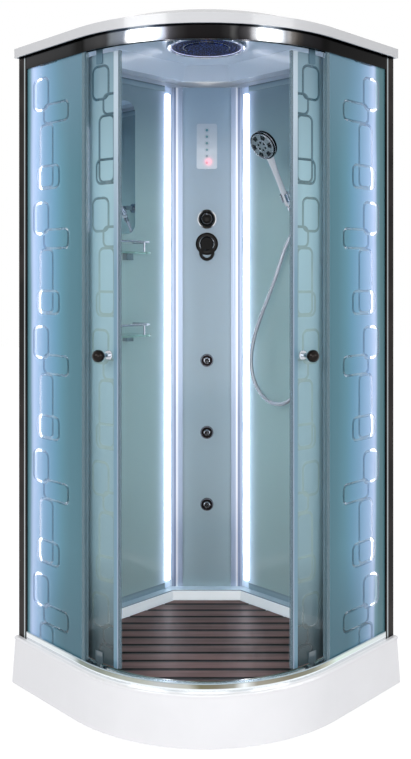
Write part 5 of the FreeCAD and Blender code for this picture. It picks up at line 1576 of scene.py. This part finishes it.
def skin(name: str, points: np.ndarray, along: Optional[np.ndarray] = None,
         sharp: float = 0.6) -> bpy.types.Object:
    """Makes a piece from a grid of points, or from many like grids side by side.

    Each row of points closes on itself.

    Args:
        name: The piece's name.
        points: An array of rows by columns by 3, or of pieces by rows by columns by 3.
        along: The length at each row, for the first number of the UV map.
        sharp: The turn between faces, in radians, over which an edge stays sharp.

    Returns:
        The new object, at the origin.
    """
    stack = points if points.ndim == 4 else points[None]
    count, rows, cols = stack.shape[:3]
    faces, shares = quads(rows, cols)
    offsets = (np.arange(count) * rows * cols)[:, None, None]
    all_faces = (faces[None] + offsets).reshape(-1, 4)
    if along is not None:
        shares[..., 0] = np.interp(shares[..., 0], np.linspace(0, 1, rows), along)
    mesh = bpy.data.meshes.new(name)
    mesh.from_pydata(stack.reshape(-1, 3), [], all_faces.tolist())
    layer = mesh.uv_layers.new(name="UVMap")
    layer.data.foreach_set("uv", np.tile(shares.reshape(-1), count))
    close_up(mesh)
    mesh.polygons.foreach_set("use_smooth", np.ones(len(mesh.polygons), bool))
    mesh.set_sharp_from_angle(angle=sharp)
    thing = bpy.data.objects.new(name, mesh)
    bpy.context.scene.collection.objects.link(thing)
    return thing


def close_up(mesh: bpy.types.Mesh) -> None:
    """Joins the points of poles and turns the faces outwards.

    Args:
        mesh: The mesh to work on.
    """
    work = bmesh.new()
    work.from_mesh(mesh)
    bmesh.ops.remove_doubles(work, verts=work.verts, dist=1e-6)
    bmesh.ops.recalc_face_normals(work, faces=work.faces)
    work.to_mesh(mesh)
    work.free()


def turned(profile: Union[Sequence[tuple[float, float]], np.ndarray], axes: Axes, segments: int,
           ripple: Optional[np.ndarray] = None) -> np.ndarray:
    """A surface of revolution: each profile point (x, r) runs round the local x axis.

    The point at angle a is (x, r cos a, r sin a), and where a ripple is given, r is scaled by it.

    Args:
        profile: Distances along and from the axis.
        axes: The local frame.
        segments: Points round the axis.
        ripple: A factor on the radius for each angle.

    Returns:
        The grid of points, rows along the profile.
    """
    along, radius = np.array(profile, float).T
    angle = np.arange(segments) * FULL_TURN / segments
    scale = np.ones(segments) if ripple is None else ripple
    ring = np.stack([np.zeros(segments), np.cos(angle) * scale, np.sin(angle) * scale], axis=1)
    points = radius[:, None, None] * ring[None]
    points[..., 0] = along[:, None]
    return axes.place(points)


@dataclass(frozen=True)
class Ring:
    """A ring of round section about a local x axis.

    Attributes:
        radius: From the axis to the section's middle.
        thickness: The section's radius.
        at: The section's middle along the axis.
    """

    radius: float
    thickness: float
    at: float = 0.0


@dataclass(frozen=True)
class Stud:
    """A small dome on a plane.

    Attributes:
        radius: Its radius.
        height: Its height along local x.
        rows: Rows of points on it.
        segments: Points round it.
    """

    radius: float
    height: float
    rows: int = 4
    segments: int = 8


def torus(ring: Ring, axes: Axes) -> np.ndarray:
    """A ring's surface: the section's circle about (at, radius) runs round the local x axis.

    Args:
        ring: The ring's sizes.
        axes: The local frame.

    Returns:
        The grid of points.
    """
    section = np.linspace(0, FULL_TURN, 17)
    profile = np.stack([ring.at + ring.thickness * np.sin(section),
                        ring.radius + ring.thickness * np.cos(section)], axis=1)
    return turned(profile, axes, 64)


def studs(places: np.ndarray, stud: Stud, axes: Axes) -> np.ndarray:
    """Many like domes: at height h times sine t, each has the radius r times cosine t.

    Args:
        places: Each dome's middle as local x, y and z.
        stud: The domes' sizes.
        axes: The local frame.

    Returns:
        An array of domes by rows by columns by 3.
    """
    climb = np.linspace(0, math.pi / 2, stud.rows)[:, None]
    angle = (np.arange(stud.segments) * FULL_TURN / stud.segments)[None]
    reach = stud.radius * np.cos(climb)
    dome = np.stack([np.broadcast_to(stud.height * np.sin(climb), (stud.rows, stud.segments)),
                     reach * np.cos(angle), reach * np.sin(angle)], axis=-1)
    return axes.place(places[:, None, None, :] + dome[None])


def ring_places(rings: Rings, at: float) -> np.ndarray:
    """Even places on rings about the local x axis.

    Args:
        rings: Each ring's radius and count.
        at: The distance along the axis.

    Returns:
        One row for each place.
    """
    rows = []
    for radius, count in rings:
        angle = (np.arange(count) + 0.5) * FULL_TURN / count
        rows.append(np.stack([np.full(count, at), radius * np.cos(angle), radius * np.sin(angle)], axis=1))
    return np.concatenate(rows)


def tube(path: np.ndarray, radius: np.ndarray, away: np.ndarray, segments: int = 20) -> np.ndarray:
    """A round tube along a path: the circle at each point stands square to the path.

    The circle's two axes are the path's direction crossed with a fixed vector, and that crossed
    with the direction.

    Args:
        path: The points that it follows.
        radius: The radius at each point.
        away: A vector that the path never runs along.
        segments: Points round the tube.

    Returns:
        The grid of points.
    """
    direction = np.gradient(path, axis=0)
    direction /= np.linalg.norm(direction, axis=1, keepdims=True)
    side = np.cross(direction, away)
    side /= np.linalg.norm(side, axis=1, keepdims=True)
    other = np.cross(direction, side)
    angle = np.arange(segments) * FULL_TURN / segments
    ring = (np.cos(angle)[None, :, None] * side[:, None] + np.sin(angle)[None, :, None] * other[:, None])
    return path[:, None] + radius[:, None, None] * ring


def add(thing: bpy.types.Object, body: str, finish: Finish) -> bpy.types.Object:
    """Finishes a new piece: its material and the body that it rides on.

    Args:
        thing: The piece.
        body: The CAD body that it moves with.
        finish: Its finish.

    Returns:
        The piece.
    """
    thing.data.materials.append(finish.material)
    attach(thing, body)
    log.info("made %s on %s as %s", thing.name, body, finish.name.lower())
    return thing


# The hose, which comes first with the camera

@dataclass
class HoseRun:
    """The hand shower's hose: out of the handset, down in a bow and up to the wall outlet.

    Attributes:
        route: Points along the right wall as distance from the corner, height and distance out.
        radius: The hose's radius.
        length: Its real length; not used.
    """

    route: tuple[Triple, ...] = (
        (0.490, 1.5817, 0.0625), (0.490, 1.5366, 0.0332), (0.472, 1.494, 0.036), (0.450, 1.450, 0.044),
        (0.434, 1.396, 0.052), (0.414, 1.336, 0.058), (0.386, 1.270, 0.062), (0.352, 1.200, 0.065),
        (0.322, 1.130, 0.066), (0.302, 1.060, 0.066), (0.300, 0.986, 0.064), (0.330, 0.918, 0.062),
        (0.385, 0.876, 0.058), (0.448, 0.874, 0.056), (0.500, 0.908, 0.054), (0.540, 0.966, 0.052),
        (0.566, 1.046, 0.050), (0.584, 1.130, 0.050), (0.596, 1.216, 0.056), (0.600, 1.289, 0.065),
        (0.600, 1.338, 0.065),
    )
    radius: float = 0.007
    length: float = 1.350

    def line(self) -> np.ndarray:
        """Reads a smooth line of points from the route's NURBS spline.

        Returns:
            The points, one a row, from the route's first point to its last.
        """
        curve = bpy.data.curves.new("hose_line", "CURVE")
        curve.dimensions = "3D"
        spline = curve.splines.new("NURBS")
        spline.points.add(len(self.route) - 1)
        places = np.array([(*PLAN.wall_point(*point), 1.0) for point in self.route])
        spline.points.foreach_set("co", places.ravel())
        spline.order_u = 3
        spline.use_endpoint_u = True
        spline.resolution_u = 16
        helper = bpy.data.objects.new("hose_line", curve)
        bpy.context.scene.collection.objects.link(helper)
        mesh = bpy.data.meshes.new_from_object(helper)
        points = np.zeros(len(mesh.vertices) * 3)
        mesh.vertices.foreach_get("co", points)
        bpy.data.objects.remove(helper)
        bpy.data.meshes.remove(mesh)
        bpy.data.curves.remove(curve)
        return points.reshape(-1, 3)

    def build(self) -> None:
        path = self.line()
        steps = np.linalg.norm(np.diff(path, axis=0), axis=1)
        along = np.concatenate([[0.0], np.cumsum(steps)])
        outwards = np.array([-ROOT_HALF, -ROOT_HALF, 0.0])
        points = tube(path, np.full(len(path), self.radius), outwards)
        ends = [np.broadcast_to(path[i], (1, *points[0].shape)) for i in (0, -1)]
        grid = np.concatenate([ends[0], points, ends[1]])
        hose = skin("hose", grid, along=np.concatenate([[0.0], along, along[-1:]]), sharp=1.2)
        hose.data.materials.append(Finish.HOSE.material)
        log.info("made %s as %s", hose.name, Finish.HOSE.name.lower())
        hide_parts("shower_hose")
        2 * self.radius
        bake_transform(hose)


# Sub-assemblies

@dataclass
class TraySet:
    """The tray, its skirt, what carries it, and the slatted floor."""

    def build(self) -> None:
        """Dresses the nodes."""
        dress(Finish.TRAY_SHELL, "tray")
        dress(Finish.ACRYLIC, "tray_skirt")
        dress(Finish.ZINC, "support_frame")
        dress(Finish.BLACK_RUBBER, "levelling_feet")
        dress(Finish.LIGHT_PLASTIC, "waste_trap")
        dress(Finish.CHROME, "drain_cover")
        dress(Finish.SLATS, "duckboard")


@dataclass
class FrontScreen:
    """The rails, posts, fixed panes and sliding doors of the curved front.

    Attributes:
        top_reflection_bands: The top rail's painted reflections against the angle from the middle, right
            positive: dark stretches and white painted highlights.
        low_reflection_bands: The low rail's painted reflections against that angle.
    """

    top_reflection_bands: Bands = (
        (-80.0, "353436"), (-52.0, "2c2d2e"), (-47.5, "0a0a0a"), (-45.0, "0a0a0a"), (-43.0, "343435"),
        (-37.0, "464647"), (-33.5, "454547"), (-31.5, "7c8288"), (-26.5, "838a97"), (-24.3, "ffffff"),
        (-18.7, "ffffff"), (-15.5, "8a92a0"), (-12.5, "4d4d53"), (-9.0, "343334"), (-5.5, "222021"),
        (4.5, "1f1e1f"), (7.5, "302f30"), (9.0, "575757"), (10.5, "2c2b2d"), (13.5, "4a494b"),
        (16.2, "8a8b8e"), (17.8, "ffffff"), (21.8, "ffffff"), (24.3, "9ea2a8"), (26.0, "5a5c60"),
        (29.0, "6a6663"), (30.5, "46423f"), (33.0, "2c2c2e"), (39.5, "1c1b1d"), (41.5, "030303"),
        (80.0, "020202"),
    )
    low_reflection_bands: Bands = (
        (-80.0, "e4e6e8"), (-56.0, "d3dadb"), (-50.0, "c3cbce"), (-46.0, "7f8981"), (-36.0, "848a80"),
        (-28.0, "a2a69c"), (-20.0, "aaada4"), (-14.0, "b6b8b8"), (-6.0, "afb0a6"), (-2.0, "737058"),
        (3.0, "787362"), (9.0, "929186"), (12.0, "e2e6e6"), (16.0, "969286"), (21.0, "908c7e"),
        (28.0, "807c6c"), (36.0, "838476"), (43.0, "acad9f"), (49.0, "cedcd4"), (80.0, "d2d6da"),
    )

    def rails(self) -> None:
        """Dresses the rails with their painted reflections, and the posts and their screws."""
        low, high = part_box("top_rail")
        # The rails' colours are painted reflections with painted shade at the edges; the low rail also has
        # a painted highlight along its top.
        top = FrontRail(self.top_reflection_bands, low.z, high.z, shade=0.55)
        dress_with(top.build("top_rail_polish"), "top_rail")
        low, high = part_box("bottom_rail")
        bottom = FrontRail(self.low_reflection_bands, low.z, high.z, shade=0.3, lip=0.44, crest=0.9)
        dress_with(bottom.build("bottom_rail_polish"), "bottom_rail")
        dress(Finish.POST, "corner_posts")
        dress(Finish.CHROME, "post_screws")

    def doors(self) -> None:
        """Dresses the doors with their fittings."""
        for side in ("left", "right"):
            dress(Finish.DOOR_PANE, "door_glass_" + side)
            dress(Finish.STILE, "door_stile_" + side)
            dress(Finish.SEAL, "door_seal_" + side)
            dress(Finish.KNOB, "door_knob_" + side)
            dress(Finish.HANGER, "door_hangers_" + side)
            dress(Finish.GUIDE, "door_guides_" + side)
            dress(Finish.NYLON, "roller_%s_front" % side, "roller_%s_rear" % side)

    def build(self) -> None:
        """Dresses the whole front."""
        self.rails()
        dress(Finish.FIXED_PANE, "fixed_glass_left", "fixed_glass_right")
        dress(Finish.SEAL, "fixed_glass_seals")
        self.doors()


@dataclass
class Walls:
    """The wall panes, their channels and the light strips."""

    def build(self) -> None:
        """Dresses the nodes."""
        dress(Finish.WALL, "wall_panel_left", "wall_panel_right")
        dress(Finish.WALL_EDGE, "wall_trims")
        dress(Finish.COLUMN_EDGE, "column_profiles")
        dress(Finish.STRIP, "light_strips")


@dataclass
class Column:
    """The column's sheet with its control panel, valves and body jets.

    Attributes:
        grip_radius: The radius of the diverter's grip.
        grip_back: How far it starts in front of its CAD node's back.
        grip_flutes: The flutes round it, and flute_depth how deep they are, as a share of the radius.
        grip_edge: The size of its back edge's chamfer.
        grip_shoulder: How far under its front its side begins to round.
        grip_crest: How far under its front the crest round its face lies.
        grip_sunk: How far under its front its face lies.
        grip_cap: The cap on its face, as (x, r) from the face.
        grip_ring: The ring on its face.
        pointer: The pointer on its face, and pointer_up how far over the middle it stands.
        mixer_collar: The ring round the mixer's cap.
        diverter_rim: The rim round the diverter's escutcheon.
        mixer_rim: The rim round the mixer's.
        jet_rim: The rim on each jet's housing.
        jet_face: The dark face on each nozzle, as (x, r) from its front.
        jet_outlet: An outlet on that face, and outlet_at how far out it stands.
        jet_rings: Radius and count of the outlets.
    """

    grip_radius: float = 0.029
    grip_back: float = 0.012
    grip_flutes: int = 18
    flute_depth: float = 0.028
    grip_edge: float = 0.001
    grip_shoulder: float = 0.008
    grip_crest: float = 0.0035
    grip_sunk: float = 0.0045
    grip_cap: Profile = ((0.0, 0.0115), (0.0020, 0.0108), (0.0027, 0.0060), (0.0029, 0.0))
    grip_ring: Ring = Ring(0.0195, 0.0007)
    pointer: Stud = Stud(0.0022, 0.0016, rows=5, segments=16)
    pointer_up: float = 0.018
    mixer_collar: Ring = Ring(0.0268, 0.0012, at=0.020)
    diverter_rim: Ring = Ring(0.0344, 0.0026)
    mixer_rim: Ring = Ring(0.0400, 0.0026)
    jet_rim: Ring = Ring(0.0222, 0.0018)
    jet_face: Profile = ((0.0, 0.0), (0.0003, 0.0), (0.0006, 0.0090), (0.0, 0.0098))
    jet_outlet: Stud = Stud(0.0010, 0.0007, rows=3)
    outlet_at: float = 0.0004
    jet_rings: Rings = ((0.0038, 4), (0.0080, 9))

    def before(self, node: str, y: float) -> Axes:
        """The frame of a fitting at the middle height of a node."""
        low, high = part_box(node)
        return facing_front(0.0, y, (low.z + high.z) / 2)

    def grip(self, axes: Axes, height: float) -> bpy.types.Object:
        """The fluted knob: its radius waves with the angle round its axis.

        Args:
            axes: The knob's frame, at its back.
            height: The knob's height.

        Returns:
            The piece.
        """
        radius = self.grip_radius
        face = height - self.grip_sunk
        segments = self.grip_flutes * 8
        angle = np.arange(segments) * FULL_TURN / segments
        wave = 1.0 - self.flute_depth * (0.5 + 0.5 * np.cos(angle * self.grip_flutes)) ** 3
        profile = [(0.0, 0.0), (0.0, radius - self.grip_edge), (self.grip_edge, radius),
                   (height - self.grip_shoulder, radius * 0.985), (face, radius * 0.95),
                   (height - self.grip_crest, radius * 0.86), (face, radius * 0.74), (face, 0.0)]
        return skin("diverter_grip", turned(profile, axes, segments, wave))

    def diverter(self) -> None:
        """Makes the diverter's grip with the cap, ring and pointer on its face."""
        low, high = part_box("diverter_knob")
        back = high.y - self.grip_back
        axes = self.before("diverter_knob", back)
        knob = add(self.grip(axes, back - low.y), "diverter_knob", Finish.BLACK_GLOSS)
        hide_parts("diverter_knob")
        face = axes.moved(back - low.y - self.grip_sunk)
        pointer = studs(np.array([[0.0, 0.0, self.pointer_up]]), self.pointer, face)
        for name, points, finish in (
                ("diverter_pointer", pointer, Finish.CHROME),
                ("diverter_cap", turned(self.grip_cap, face, 40), Finish.VALVE_PLATE),
                ("diverter_ring", torus(self.grip_ring, face), Finish.SMOKED_CHROME)):
            add(skin(name, points), "diverter_knob", finish)

    def mixer(self) -> None:
        """Dresses the mixer's cap and lever and adds its bright collar."""
        dress(Finish.BLACK_GLOSS, "mixer_cap", "mixer_lever")
        axes = self.before("mixer_cap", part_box("mixer_cap")[1].y)
        collar = skin("mixer_collar", torus(self.mixer_collar, axes))
        add(collar, "mixer_cap", Finish.VALVE_RIM)

    def bezels(self) -> None:
        """Dresses the two escutcheons and adds their raised rims."""
        dress(Finish.VALVE_PLATE, "valve_escutcheons")
        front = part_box("valve_escutcheons")[0].y
        for name, ring, node, finish in (
                ("diverter_rim", self.diverter_rim, "diverter_knob", Finish.VALVE_RIM),
                ("mixer_rim", self.mixer_rim, "mixer_cap", Finish.BLACK_GLOSS)):
            add(skin(name, torus(ring, self.before(node, front))), "cabin", finish)

    def jets(self) -> None:
        """Adds a rim to each jet housing and a dark face with outlets to each nozzle."""
        dress(Finish.DARK_CHROME, "jet_housings")
        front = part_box("jet_housings")[0].y
        places = ring_places(self.jet_rings, self.outlet_at)
        for index in (1, 2, 3):
            node = "jet_nozzle_%d" % index
            dress(Finish.CHROME, node)
            rim = skin("jet_rim_%d" % index, torus(self.jet_rim, self.before(node, front)))
            add(rim, "cabin", Finish.SMOKED_CHROME)
            axes = self.before(node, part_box(node)[0].y)
            disc = skin("jet_face_%d" % index, turned(self.jet_face, axes, 40))
            add(disc, node, Finish.BLACK_GLOSS)
            outlets = skin("jet_outlets_%d" % index, studs(places, self.jet_outlet, axes))
            add(outlets, node, Finish.CHROME)

    def build(self) -> None:
        """Dresses the column and makes its fittings."""
        dress(Finish.COLUMN, "column_panel")
        dress(Finish.TOUCH, "control_panel")
        dress(Finish.LIGHT_PLASTIC, "control_box")
        dress(Finish.BRASS, "valve_body", "supply_pipes")
        self.diverter()
        self.mixer()
        self.bezels()
        self.jets()


@dataclass
class Roof:
    """The roof shell and the round ceiling shower.

    Attributes:
        raised_rings: Radius and count of the rubber nozzles on the plate's raised middle.
        outer_rings: Radius and count of those on its outer ring.
        rise: How far the middle stands out.
        nozzle: A nozzle.
        light: The light ring round the plate.
        groove: The ring round the raised middle.
    """

    raised_rings: Rings = ((0.012, 6), (0.026, 12), (0.040, 18), (0.054, 24), (0.068, 30))
    outer_rings: Rings = ((0.088, 36), (0.104, 44))
    rise: float = 0.005
    nozzle: Stud = Stud(0.0019, 0.0020)
    light: Ring = Ring(0.1215, 0.0012, at=-0.0045)
    groove: Ring = Ring(0.080, 0.0014, at=-0.0042)

    def build(self) -> None:
        """Dresses the roof and adds nozzles and light rings."""
        dress(Finish.ROOF_SHELL, "roof")
        dress(Finish.CHROME, "rain_head_ring")
        dress(Finish.RAIN_BLUE, "rain_head_plate")
        low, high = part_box("rain_head_plate")
        raised = facing_down(0.0, (low.y + high.y) / 2, low.z)
        places = [ring_places(self.raised_rings, 0.0), ring_places(self.outer_rings, -self.rise)]
        nozzles = skin("rain_nozzles", studs(np.concatenate(places), self.nozzle, raised))
        add(nozzles, "cabin", Finish.RAIN_NOZZLE)
        light = skin("rain_light_ring", torus(self.light, raised))
        add(light, "cabin", Finish.RING_LIGHT)
        groove = skin("rain_inner_ring", torus(self.groove, raised))
        add(groove, "cabin", Finish.SMOKED_CHROME)


@dataclass
class HandShower:
    """The handset on its holder.

    Attributes:
        tilt: The handle's lean out from the wall, in degrees.
        head_radius: The head's radius.
        head_back: The depth of its domed back.
        head_rim: Its rim, as (x, r).
        head_trim: The bright ring round the rim.
        foot: Where the handle's foot lies on local z.
        neck: Where its top end does.
        handle_radius: The handle's radius at its foot.
        waist_wide: How much narrower its middle is across, and waist_deep from front to back.
        neck_wide: How much wider its neck is across, neck_deep how much thinner from front to back,
            and neck_lean how far back that lies.
        nut: The hose nut, as (z, r).
        nut_ribs: The ribs round it, and rib_depth how deep they are, as a share of the radius.
        plate: The spray face's plate, as (x, r).
        nozzle: A nozzle on the plate, and nozzle_at how far out it stands.
        nozzle_rings: Radius and count of the nozzles.
        plate_rings: The bright rings on the plate, the inner one first.
    """

    tilt: float = 33.0
    head_radius: float = 0.0525
    head_back: float = 0.0156
    head_rim: Profile = ((0.0104, 0.0), (0.0104, 0.0480), (0.0102, 0.0500), (0.0090, 0.0518),
                         (0.0066, 0.0525))
    head_trim: Ring = Ring(0.0520, 0.0009, at=0.0085)
    foot: float = -0.240
    neck: float = -0.014
    handle_radius: float = 0.0119
    waist_wide: float = 0.0022
    waist_deep: float = 0.0020
    neck_wide: float = 0.0080
    neck_deep: float = 0.0022
    neck_lean: float = 0.0040
    nut: Profile = ((-0.2620, 0.0), (-0.2620, 0.0078), (-0.2560, 0.0090), (-0.2420, 0.0100),
                    (-0.2400, 0.0098), (-0.2400, 0.0))
    nut_ribs: int = 12
    rib_depth: float = 0.035
    plate: Profile = ((0.0107, 0.0), (0.0107, 0.0465), (0.0125, 0.0470), (0.0140, 0.0455),
                      (0.0143, 0.0400), (0.0149, 0.0200), (0.0152, 0.0))
    nozzle: Stud = Stud(0.0017, 0.0014)
    nozzle_at: float = 0.0142
    nozzle_rings: Rings = ((0.007, 5), (0.016, 12), (0.026, 18), (0.036, 26), (0.042, 32))
    plate_rings: tuple[Ring, Ring] = (Ring(0.0205, 0.0011, at=0.0142), Ring(0.0450, 0.0011, at=0.0142))

    def axes(self) -> Axes:
        """Reads the place of the handset's frame and works out its lean.

        Returns:
            The frame: local x out of the face, local z up the handle.
        """
        joint = next(j for j in frame["joints"] if j["name"] == "spray_face_turn")
        out = np.array([-ROOT_HALF, -ROOT_HALF, 0.0])
        up = np.array([0.0, 0.0, 1.0])
        lean = math.radians(self.tilt)
        x = out * math.cos(lean) - up * math.sin(lean)
        z = out * math.sin(lean) + up * math.cos(lean)
        return Axes(np.array(joint["pos_m"]), x, np.cross(z, x), z)

    def head(self, axes: Axes) -> bpy.types.Object:
        """The head: a rounded rim and a domed back, an ellipse's quarter turned round local x.

        Args:
            axes: The handset's frame.

        Returns:
            The piece.
        """
        quarter = np.linspace(0, math.pi / 2, 14)
        back = [(-self.head_back * math.sin(a), self.head_radius * math.cos(a) ** 0.75) for a in quarter]
        return skin("handset_head", turned([*self.head_rim, *back], axes, 72), sharp=0.9)

    def handle(self, axes: Axes) -> bpy.types.Object:
        """The handle: an ellipse carried up local z, its two half widths following smooth curves.

        Args:
            axes: The handset's frame.

        Returns:
            The piece.
        """
        rows, segments = 60, 36
        height = np.linspace(self.foot, self.neck, rows)
        share = (height - self.foot) / (self.neck - self.foot)
        ease = share * share * (3 - 2 * share)
        waist = np.sin(math.pi * share)
        wide = self.handle_radius - self.waist_wide * waist + self.neck_wide * ease ** 5
        deep = self.handle_radius - self.waist_deep * waist - self.neck_deep * ease ** 3
        lean = -self.neck_lean * ease ** 2
        angle = np.arange(segments) * FULL_TURN / segments
        points = np.stack([lean[:, None] + deep[:, None] * np.cos(angle), wide[:, None] * np.sin(angle),
                           np.broadcast_to(height[:, None], (rows, segments))], axis=-1)
        ends = [np.broadcast_to([lean[i], 0.0, height[i]], (1, segments, 3)) for i in (0, -1)]
        grid = np.concatenate([ends[0], points, ends[1]])
        return skin("handset_handle", axes.place(grid), sharp=0.9)

    def hose_nut(self, axes: Axes) -> bpy.types.Object:
        """The hose nut: a cone with grip ribs, turned round the handle's line.

        Args:
            axes: The handset's frame.

        Returns:
            The piece.
        """
        along = Axes(axes.origin, axes.z, axes.x, axes.y)
        segments = self.nut_ribs * 5
        angle = np.arange(segments) * FULL_TURN / segments
        ribs = 1.0 - self.rib_depth * (np.cos(angle * self.nut_ribs) > 0.4)
        return skin("handset_nut", turned(self.nut, along, segments, ribs))

    def face(self, axes: Axes) -> None:
        """Makes the turning spray face with its nozzles and its two bright rings.

        Args:
            axes: The handset's frame.
        """
        radii = np.array([radius for _, radius in self.plate])
        plate = skin("spray_disc", turned(self.plate, axes, 72), along=radii, sharp=0.9)
        add(plate, "spray_face", Finish.SPRAY)
        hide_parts("spray_face")
        nozzles = studs(ring_places(self.nozzle_rings, self.nozzle_at), self.nozzle, axes)
        add(skin("spray_nozzles", nozzles), "spray_face", Finish.NYLON)
        for name, ring in zip(("spray_ring_inner", "spray_ring_outer"), self.plate_rings):
            add(skin(name, torus(ring, axes)), "spray_face", Finish.CHROME)

    def build(self) -> None:
        """Makes the handset and dresses its holder."""
        axes = self.axes()
        head = add(self.head(axes), "hand_set", Finish.BLACK_GLOSS)
        add(self.handle(axes), "hand_set", Finish.HANDLE)
        add(self.hose_nut(axes), "hand_set", Finish.CHROME)
        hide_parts("hand_shower")
        self.face(axes)
        add(skin("handset_trim", torus(self.head_trim, axes)), "hand_set", Finish.CHROME)
        dress(Finish.CHROME, "holder_cup", "shower_bracket", "hose_outlet")


@dataclass
class Shelves:
    """The glass shelves with their rails, and the mirror over them."""

    def build(self) -> None:
        """Dresses the nodes."""
        dress(Finish.SHELF, "shelf_glasses")
        dress(Finish.CHROME, "shelf_rails")
        dress(Finish.MIRROR, "mirror")


@dataclass(frozen=True)
class Lamp:
    """A soft square lamp that looks at the cabin.

    Attributes:
        name: Its name.
        place: Where it hangs.
        width: Its width.
        power: Its power, in watts.
    """

    name: str
    place: Triple
    width: float
    power: float

    def hang(self, aim: Triple) -> None:
        """Makes the lamp, turned towards a point.

        Args:
            aim: The point.
        """
        light = bpy.data.lights.new(self.name, "AREA")
        light.size = self.width
        light.energy = self.power
        lamp = bpy.data.objects.new(self.name, light)
        lamp.location = self.place
        lamp.rotation_euler = (Vector(aim) - Vector(self.place)).to_track_quat("-Z", "Y").to_euler()
        bpy.context.scene.collection.objects.link(lamp)


@dataclass
class Studio:
    """The pale floor, the soft lamps, the sky and the camera.

    Attributes:
        distance: From the camera to the tray's front.
        eye: The camera's height.
        lens: The focal length, in millimetres.
        sensor: The sensor's width, in millimetres.
        shift: The picture's shift to the right and up, as shares of its long side.
        side: How far right of the cabin's middle plane the camera stands.
        floor_reach: The floor's radius.
        floor_glow: How much light the floor adds where it is seen.
        sky_light: How strongly the sky lights the cabin.
        sky_seen: How bright it shows where it is seen.
        lamps: The soft lamps in front, one to each side and one in the middle.
        lamp_aim: The point that they look at.
    """

    distance: float = 2.464
    eye: float = 1.343
    lens: float = 41.26
    sensor: float = 36.0
    shift: tuple[float, float] = (-0.0073, -0.1360)
    side: float = 0.016
    floor_reach: float = 14.0
    floor_glow: float = 0.72
    sky_light: float = 0.5
    sky_seen: float = 1.0
    lamps: tuple[Lamp, ...] = (
        Lamp("left_lamp", (-2.4, -3.0, 2.6), 1.8, 50), Lamp("right_lamp", (2.6, -2.8, 2.2), 1.8, 36),
        Lamp("front_lamp", (0.0, -4.2, 1.4), 2.2, 40),
    )
    lamp_aim: Triple = (0.0, 0.0, 1.0)

    def camera(self) -> None:
        """Sets the camera level, at the photograph's place."""
        data = bpy.data.cameras.new("view")
        data.lens = self.lens
        data.sensor_width = self.sensor
        data.shift_x, data.shift_y = self.shift
        thing = bpy.data.objects.new("view", data)
        front = CAD_BOX[0][1]
        thing.location = (self.side, front - self.distance, self.eye)
        thing.rotation_euler = (math.pi / 2, 0, 0)
        bpy.context.scene.collection.objects.link(thing)
        bpy.context.scene.camera = thing

    def floor(self) -> None:
        """Lays the floor: a wide disc that keeps the object's shadow and shows pale to the view."""
        below = facing_down(0.0, 0.0, -0.0005)
        floor = skin("floor", turned([(0.0, 0.0), (0.0, 3.0), (0.0, self.floor_reach)], below, 64))
        graph = Graph("pale_floor")
        seen = Signal(graph, seen_rays(graph.nodes, graph.links))
        graph.feed(base_color=srgb("c4c4c6"), roughness=0.7, specular_ior_level=0.1,
                   emission_color=(1.0, 1.0, 1.0), emission_strength=seen * self.floor_glow)
        floor.data.materials.append(graph.material)

    def sky(self) -> None:
        """Lights the world softly, white where it is seen."""
        world = bpy.data.worlds.new("studio")
        bpy.context.scene.world = world
        world.use_nodes = True
        nodes, links = world.node_tree.nodes, world.node_tree.links
        nodes.clear()
        strength = nodes.new("ShaderNodeMapRange")
        strength.inputs["To Min"].default_value = self.sky_light
        strength.inputs["To Max"].default_value = self.sky_seen
        links.new(seen_rays(nodes, links), strength.inputs["Value"])
        background = nodes.new("ShaderNodeBackground")
        background.inputs["Color"].default_value = (1, 1, 1, 1)
        links.new(strength.outputs[0], background.inputs["Strength"])
        output = nodes.new("ShaderNodeOutputWorld")
        links.new(background.outputs[0], output.inputs["Surface"])

    def build(self) -> None:
        """Sets up the studio."""
        scene = bpy.context.scene
        scene.view_settings.view_transform = "Standard"
        self.camera()
        self.floor()
        self.sky()
        for lamp in self.lamps:
            lamp.hang(self.lamp_aim)


def main() -> None:
    """Builds the studio and the sub-assemblies in order."""
    parts = (Studio(), HoseRun(), TraySet(), FrontScreen(), Walls(), Column(), Roof(), HandShower(),
             Shelves())
    for part in parts:
        part.build()
        log.info("finished %s", type(part).__name__)


if __name__ == "__main__":
    main()
